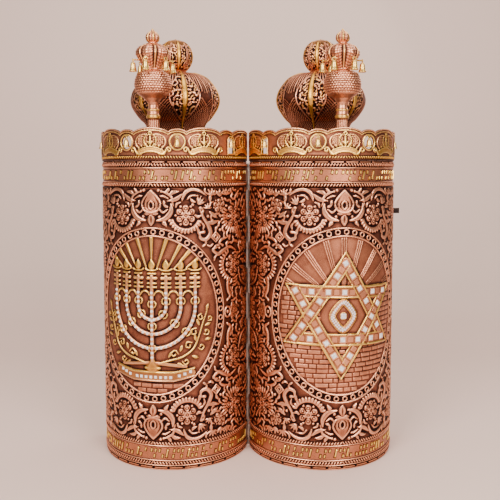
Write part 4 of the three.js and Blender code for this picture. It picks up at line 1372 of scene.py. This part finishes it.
def evenly(points, step):
    """A line through the points, in equal steps"""
    points = np.asarray(points, float)
    run = np.concatenate([[0], np.cumsum(np.linalg.norm(np.diff(points, axis=0), axis=1))])
    at = np.linspace(0, run[-1], max(2, round(run[-1] / step) + 1))
    return np.stack([np.interp(at, run, points[:, i]) for i in (0, 1)], -1)


def profile_normals(profile):
    """The outward direction at each point of a line that runs up a turned form"""
    tangent = np.gradient(profile, axis=0)
    tangent /= np.linalg.norm(tangent, axis=1)[:, None]
    return np.stack([tangent[:, 1], -tangent[:, 0]], -1)


def coarse_back(rows, cols, block):
    """Polygons over blocks of a grid that keep every corner only along the grid's own edges"""
    polygons = []
    for r0 in range(0, rows, block):
        for c0 in range(0, cols, block):
            r1, c1 = min(r0 + block, rows), min(c0 + block, cols)
            low = range(c0, c1) if r0 == 0 else (c0,)
            right = range(r0, r1) if c1 == cols else (r0,)
            high = range(c1, c0, -1) if r1 == rows else (c1,)
            left = range(r1, r0, -1) if c0 == 0 else (r1,)
            polygons.append([(r0, c) for c in low] + [(r, c1) for r in right]
                            + [(r1, c) for c in high] + [(r, c0) for r in left])
    return polygons


def draw_dome(work):
    """The whole shell, drawn flat: wide and slim are one degree's arc on the bulb and the globe"""
    rise = 1.8
    wide, slim = math.radians(BULB_DRAWN_R), math.radians(GLOBE_DRAWN_R)
    panel = [(1, 628), (9, 640), (16, 656), (19.5, 674), (17.5, 692), (11, 708), (4, 720)]
    reach = np.array(panel)
    for rib in (-90, -30, 30, 90):
        at = rib * wide
        fill_gaps(work, (at - 20 * wide, at + 20 * wide), (630, 719), 1.7, 140 + rib,
                  lambda u, z: abs(u - at) < wide * (np.interp(z, reach[:, 1], reach[:, 0]) - 1.5), 0.85, 0.7)
        for m in (-1, 1):
            work.stroke([(at + m * d * wide, z) for d, z in panel], [1.0, 1.3, 1.5, 1.5, 1.5, 1.3, 1.0], 1.3)
        spine = [(at, z) for z in (612, 632, 655, 674, 700, 724)]
        work.stroke(spine, [1.8, 2.4, 4.0, 5.0, 4.6, 3.4], rise + 0.4, 1.0, over=True)
        at = rib * slim
        fill_gaps(work, (at - 28 * slim, at + 28 * slim), (733, 776), 1.5, 260 + rib,
                  lambda u, z: z > 732, 0.7, 0.7)
        work.stroke([(at, z) for z in (729, 740, 756, 770, 784)], [1.6, 2.8, 3.4, 3.0, 2.2], rise, 1.0, over=True)
        for m in (-1, 1):
            work.stroke([(at + m * 28 * slim, z) for z in (732, 756, 780)], [1.0], 1.2)
    for middle in (-60, 0, 60):
        at = middle * wide
        for k in range(-8, 9):
            for m in (-1, 1):
                line = [(at + k * 5.6 + m * d, 616 + d) for d in np.arange(0, 62, 2.0)]
                line = [(u, z) for u, z in line
                        if abs(u - at) < wide * (28.5 - np.interp(z, reach[:, 1], reach[:, 0]))]
                if len(line) > 1:
                    work.stroke(line, [0.95], 1.2, straight=True)
        for d in range(-22, 23, 4):
            foot = 716 - 34 * (1 - (d / 24) ** 2)
            work.stroke([(at + d * wide, foot), (at + d * wide, 720)], [1.0, 2.0], 1.2, flat=0.4)
    for u in np.arange(-126, 127, 7.0):
        work.stroke([(u - 3.5, 609), (u, 616), (u + 3.5, 609)], [1.3], 1.4, straight=True)
    work.stroke([(-126, 607.5), (126, 607.5)], [1.4], 1.5, straight=True)
    for a in np.arange(-54, 55, 3.4):
        for z in (776, 779.5, 783):
            work.dot(a, z, 1.3, 0.7, 0.6)


bulb = smooth_path(DOME_BULB, fine=1.0)
ball_turn = np.radians(np.linspace(-52, 86, 40))
ball = np.stack([GLOBE_R * np.cos(ball_turn), GLOBE_Z + GLOBE_R * np.sin(ball_turn)], -1)
dome_line = evenly([*DOME_FOOT[:-1], *bulb, *smooth_path(DOME_NECK, fine=1.0)[1:], *ball, (0.4, DOME_TOP)],
                   DOME_STEP)
dome_lean = profile_normals(dome_line)
dome_cols = 208
dome_a, dome_row = grid_of(np.radians(np.linspace(-90, 90, dome_cols + 1)), np.arange(len(dome_line)))
dome_r, dome_z = dome_line[dome_row, 0], dome_line[dome_row, 1]
lean_r, lean_z = dome_lean[dome_row, 0], dome_lean[dome_row, 1]
shell = Relief(dome_a * np.where(dome_z < 727, BULB_DRAWN_R, GLOBE_DRAWN_R), dome_z)
draw_dome(shell)
shell_shape = (len(dome_line), dome_cols + 1)
shell_worn = wear(shell.h, shell_shape, RUB_REACH, 1.9, 0.3)
bare = (shell.h < 0.15) & ((dome_z < 606) | ((dome_z > 722) & (dome_z < 731)) | (dome_z > 785))
shell_worn = np.where(bare, 0.66, shell_worn)
shell_worn = np.where(shell.gilt > 0.5, np.minimum(shell_worn, 0.66), shell_worn)
shell.gilt[dome_z > 786] = 1.0
lift = np.minimum(shell.h, np.maximum(dome_r * 0.05, 0.1))
front = grid_quads(np.ones((len(dome_line) - 1, dome_cols), bool))
blocks = coarse_back(len(dome_line) - 1, dome_cols, DOME_BLOCK)
back = [[r * (dome_cols + 1) + c for r, c in p] for p in blocks]
inner, walls, back = backed(front, back, len(dome_a))
inner_r = np.maximum(dome_r[inner] - DOME_WALL * lean_r[inner], 0.2)
inner_z = dome_z[inner] - DOME_WALL * np.maximum(lean_z[inner], 0)
outer_r = dome_r + lift * lean_r
outer_z = dome_z + lift * lean_z
layers = {"wear_and_shade": np.concatenate([shell_worn, np.full(len(inner), 0.5)]),
          "gilt": np.concatenate([shell.gilt, np.zeros(len(inner))])}
for side in HALVES:
    piece(f"{side}_dome_shell", f"{side}_half",
          round_axis(side, np.concatenate([outer_r, inner_r]), np.concatenate([dome_a, dome_a[inner]]),
                     np.concatenate([outer_z, inner_z])),
          np.concatenate([front, walls]), embossed, back, layers, [f"{side}_dome"])

# --- Finials ------------------------------------------------------------------------------
# A turned spire on the front of each deck: fluted stem, gold rings, a globe of small studs,
# a crown of six leafy lobes with gold ribs between them, and a fluted ball.

FINIAL_AT = 123.0
FINIAL_TURN = {"left": 0.0, "right": math.radians(16)}
FINIAL_LINE = [
    (10.4, 557), (10.2, 628.7), (12.2, 630.7), (12.4, 634.2), (11.4, 636.2), (10.4, 637.7), (10.0, 642.4),
    (10.6, 643.8), (10.8, 645.7), (9.4, 647.7), (8.3, 653), (9.6, 658), (16, 665), (25.4, 671.6), (26.8, 673),
    (30.6, 680), (32.2, 688), (31.2, 696.5), (28.6, 703.6), (24.8, 709.7), (17, 712.6), (15.4, 715), (17.5, 721),
    (24.5, 732), (29.6, 740.2), (29.4, 746.2), (25, 752.6), (16, 757.5), (7.6, 760.2), (7.8, 761.8),
    (11.6, 765.4), (12.8, 770.6), (11.4, 775.4), (7.2, 779.6), (3, 782.2), (1.8, 784.4), (0.3, 786.2),
]
finial_line = evenly(FINIAL_LINE, 1.0)
finial_lean = profile_normals(finial_line)
FINIAL_COLS = 144
f_a, f_row = grid_of(np.linspace(0, 2 * math.pi, FINIAL_COLS, endpoint=False), np.arange(len(finial_line)))
f_r, f_z = finial_line[f_row, 0], finial_line[f_row, 1]
on_stem = f_z < 628
on_globe = (f_z > 674) & (f_z < 709)
on_crown = (f_z > 716) & (f_z < 759)
on_ball = (f_z > 763) & (f_z < 781.5)
ringed = ((f_z > 629.8) & (f_z < 636.2)) | ((f_z > 643) & (f_z < 646.8)) | (f_z > 782.6)
flutes = -0.9 * np.abs(np.sin(8 * f_a)) ** 0.6
row_at = (f_z - 674) / 4.0
stud = np.abs(np.cos(math.pi * row_at)) * (0.35 + 0.65 * np.abs(np.cos(18 * f_a + np.round(row_at) * math.pi / 2)))
lobed = np.sin(3 * f_a) ** 2
leafy = np.abs(np.sin(0.7 * (f_z - 716) + 3.2 * np.abs(np.cos(3 * f_a)))) * np.abs(np.cos(12 * f_a)) ** 0.5
rib = np.exp(-((np.abs(np.mod(f_a, math.pi / 3) - math.pi / 6) * f_r / 1.7) ** 4))
crown = -f_r * 0.07 * lobed + leafy * (1 - 0.6 * lobed) + (f_r * 0.07 + 0.4) * rib
gores = -1.1 * np.abs(np.sin(6 * f_a))
h = np.select([on_stem, on_globe, on_crown, on_ball], [flutes, 1.5 * stud**1.3, crown, gores])
f_gilt = np.select([ringed, on_crown, on_ball], [0.9, 0.45 * rib, 0.8 * rib])
f_shape = (len(finial_line), FINIAL_COLS)
f_worn = np.clip(wear(h - h.min(), f_shape, 2, 1.6, 0.4) + 0.12, 0, 1)
plain = ~(on_stem | on_globe | on_crown | on_ball)
f_worn = np.select([plain, rib * (on_crown | on_ball) > 0.5], [0.72, 0.85], f_worn)
f_out_r = np.maximum(f_r + h * finial_lean[f_row, 0], 0.2)
f_out_z = f_z + h * finial_lean[f_row, 1]
f_quads, f_caps = loops(*f_shape)
BELL_AT = 34.6
BELL_PEG_Z = 731.0
for side in HALVES:
    angle = f_a + FINIAL_TURN[side]
    x, y = f_out_r * np.sin(angle), -f_out_r * np.cos(angle) - FINIAL_AT
    piece(f"{side}_finial_spire", f"{side}_half", placed(side, x, y, f_out_z), f_quads, embossed, f_caps,
          {"wear_and_shade": f_worn, "gilt": f_gilt}, [f"{side}_finial"])
    pegs = []
    for i in range(6):
        for r in (24.0, 27.0, 30.0, 33.0):
            pegs.append(seat(side, i * math.pi / 3 + FINIAL_TURN[side], r, BELL_PEG_Z, from_y=-FINIAL_AT))
    repeats(f"{side}_finial_pegs", f"{side}_half", block_stamp(6, 1.0), pegs, gold, slot="finial",
            Width=1.9, Height=1.9, Rise=3.1)

# --- Bells --------------------------------------------------------------------------------
# Small cast bells, plated pale gold, each on a wire ring over its peg, with a ball clapper.


def pale_gold_plate():
    """Pale gold plate on cast brass: bright, with the fine pitting of a casting"""
    made, tree = new_material("pale_gold_plate")
    place = node(tree, "ShaderNodeTexCoord")
    pits = node(tree, "ShaderNodeTexNoise", {"Vector": place.outputs["Object"], "Scale": 700.0, "Detail": 2.0})
    tone = ramp(tree, pits.outputs["Fac"], [(0.25, "#C98A30"), (0.6, "#F8D67E")])
    bump = node(tree, "ShaderNodeBump", {"Height": pits.outputs["Fac"], "Strength": 0.12, "Distance": 0.0003})
    surface(tree, tone, 0.3, bump)
    return made


def lathe(profile, steps=20):
    """Vertices and faces of a turned form from a line that starts and ends on its axis"""
    inner = profile[1:-1]
    angles = np.linspace(0, 2 * math.pi, steps, endpoint=False)
    co = [(r * math.sin(a), -r * math.cos(a), z) for r, z in inner for a in angles]
    return co, *loops(len(inner), steps)


def hoop(radius, wire, height, steps=20, round_steps=8):
    """A wire ring that stands upright across the way it hangs"""
    co, quads = [], []
    for i in range(steps):
        a = 2 * math.pi * i / steps
        for k in range(round_steps):
            b = 2 * math.pi * k / round_steps
            out = radius + wire * math.cos(b)
            co.append((out * math.sin(a), wire * math.sin(b), height + out * math.cos(a)))
            i1, k1 = (i + 1) % steps, (k + 1) % round_steps
            quads.append([i * round_steps + k, i1 * round_steps + k, i1 * round_steps + k1, i * round_steps + k1])
    return co, quads, []


def bell_parts(height, mouth, wall, ring):
    """A bell below its peg, which is at the origin"""
    hang = -(ring - 0.75 - 0.9 - 0.3)
    top = hang - ring + 0.4
    outside = [(0.1, 0), (0.26, -0.01), (0.46, -0.06), (0.58, -0.14), (0.64, -0.3), (0.68, -0.5), (0.76, -0.7),
               (0.88, -0.86), (1.0, -0.95), (1.0, -1.0)]
    outer = [(r * mouth, top + z * height) for r, z in outside]
    inner = [(max(r * mouth - wall, 0.1), min(top + z * height, top - wall)) for r, z in outside[::-1]]
    ball = [(1.5 * math.sin(a) + 0.02, top - height * 0.92 - 1.5 * math.cos(a))
            for a in np.linspace(0.1, math.pi - 0.1, 8)]
    return [lathe([(0, top), *outer, *inner, (0, top - wall)][::-1]),
            lathe([(0, ball[0][1]), *ball, (0, ball[-1][1])], 12), hoop(ring, 0.75, hang)]


def hang_bell(name, side, node_name, parts, x, y, z, angle):
    """Turns the parts to an angle, hangs them at a peg, and joins them as one piece"""
    (bx, by, bz), quads, caps = joined(parts)
    cos, sin = math.cos(angle), math.sin(angle)
    at = placed(side, x + bx * cos - by * sin, y + bx * sin + by * cos, z + bz)
    return piece(name, f"{side}_half", at, quads, bell_gold, caps, replaces=[node_name])


bell_gold = pale_gold_plate()
large_bell = bell_parts(16, 7, 0.9, 3.3)
arch_bell = bell_parts(12.5, 5.6, 0.8, 2.6)
window_bell = bell_parts(13.6, 6.8, 0.8, 2.6)
for side in HALVES:
    for i in range(6):
        angle = i * math.pi / 3 + FINIAL_TURN[side]
        x, y = BELL_AT * math.sin(angle), -BELL_AT * math.cos(angle) - FINIAL_AT
        hang_bell(f"{side}_finial_bell_cast_{i + 1}", side, f"{side}_finial_bell_{i + 1}", large_bell,
                  x, y, BELL_PEG_Z, angle)
    for i, (degrees, top) in enumerate(WINDOWS):
        angle = math.radians(degrees)
        parts = arch_bell if abs(degrees) == ARCH_AT else window_bell
        r = GALLERY_R + 0.4
        hang_bell(f"{side}_window_bell_cast_{i + 1}", side, f"{side}_window_bell_{i + 1}", parts,
                  r * math.sin(angle), -r * math.cos(angle), top - PEG_DROP, angle)

# --- Hinge and latch ----------------------------------------------------------------------
# A full-length butt hinge of satin nickel joins the halves along the seam, and a small strap
# latch of blackened iron closes the free edges.


def worked_metal(name, dark, light, roughness, grain_mm):
    """A plain metal with a directional finish: fine lines across, and softly mottled tone"""
    made, tree = new_material(name)
    place = node(tree, "ShaderNodeTexCoord")
    stretch = node(tree, "ShaderNodeMapping", {"Vector": place.outputs["Object"], "Scale": (1, 1, 0.1)})
    lines = node(tree, "ShaderNodeTexNoise", {
        "Vector": stretch.outputs["Vector"], "Scale": 1 / (grain_mm * MM), "Detail": 3.0,
    })
    tone = ramp(tree, lines.outputs["Fac"], [(0.3, dark), (0.7, light)])
    rough = node(tree, "ShaderNodeMapRange", {
        "Value": lines.outputs["Fac"], "To Min": roughness, "To Max": roughness + 0.15,
    })
    bump = node(tree, "ShaderNodeBump", {"Height": lines.outputs["Fac"], "Strength": 0.1, "Distance": 0.0003})
    surface(tree, tone, rough.outputs["Result"], bump)
    return made


def refinish(names, material):
    """Gives plain CAD pieces their material"""
    for name in names:
        slots = frame["nodes"][name].data.materials
        slots.clear()
        slots.append(material)


refinish(["left_hinge_leaf", "right_hinge_leaf", "hinge_pin"],
         worked_metal("satin_nickel", "#8F8A84", "#C9C4BC", 0.3, 0.8))
refinish(["latch_plate", "latch_strap", "latch_catch"],
         worked_metal("blackened_iron", "#1B1514", "#3B302D", 0.45, 1.4))
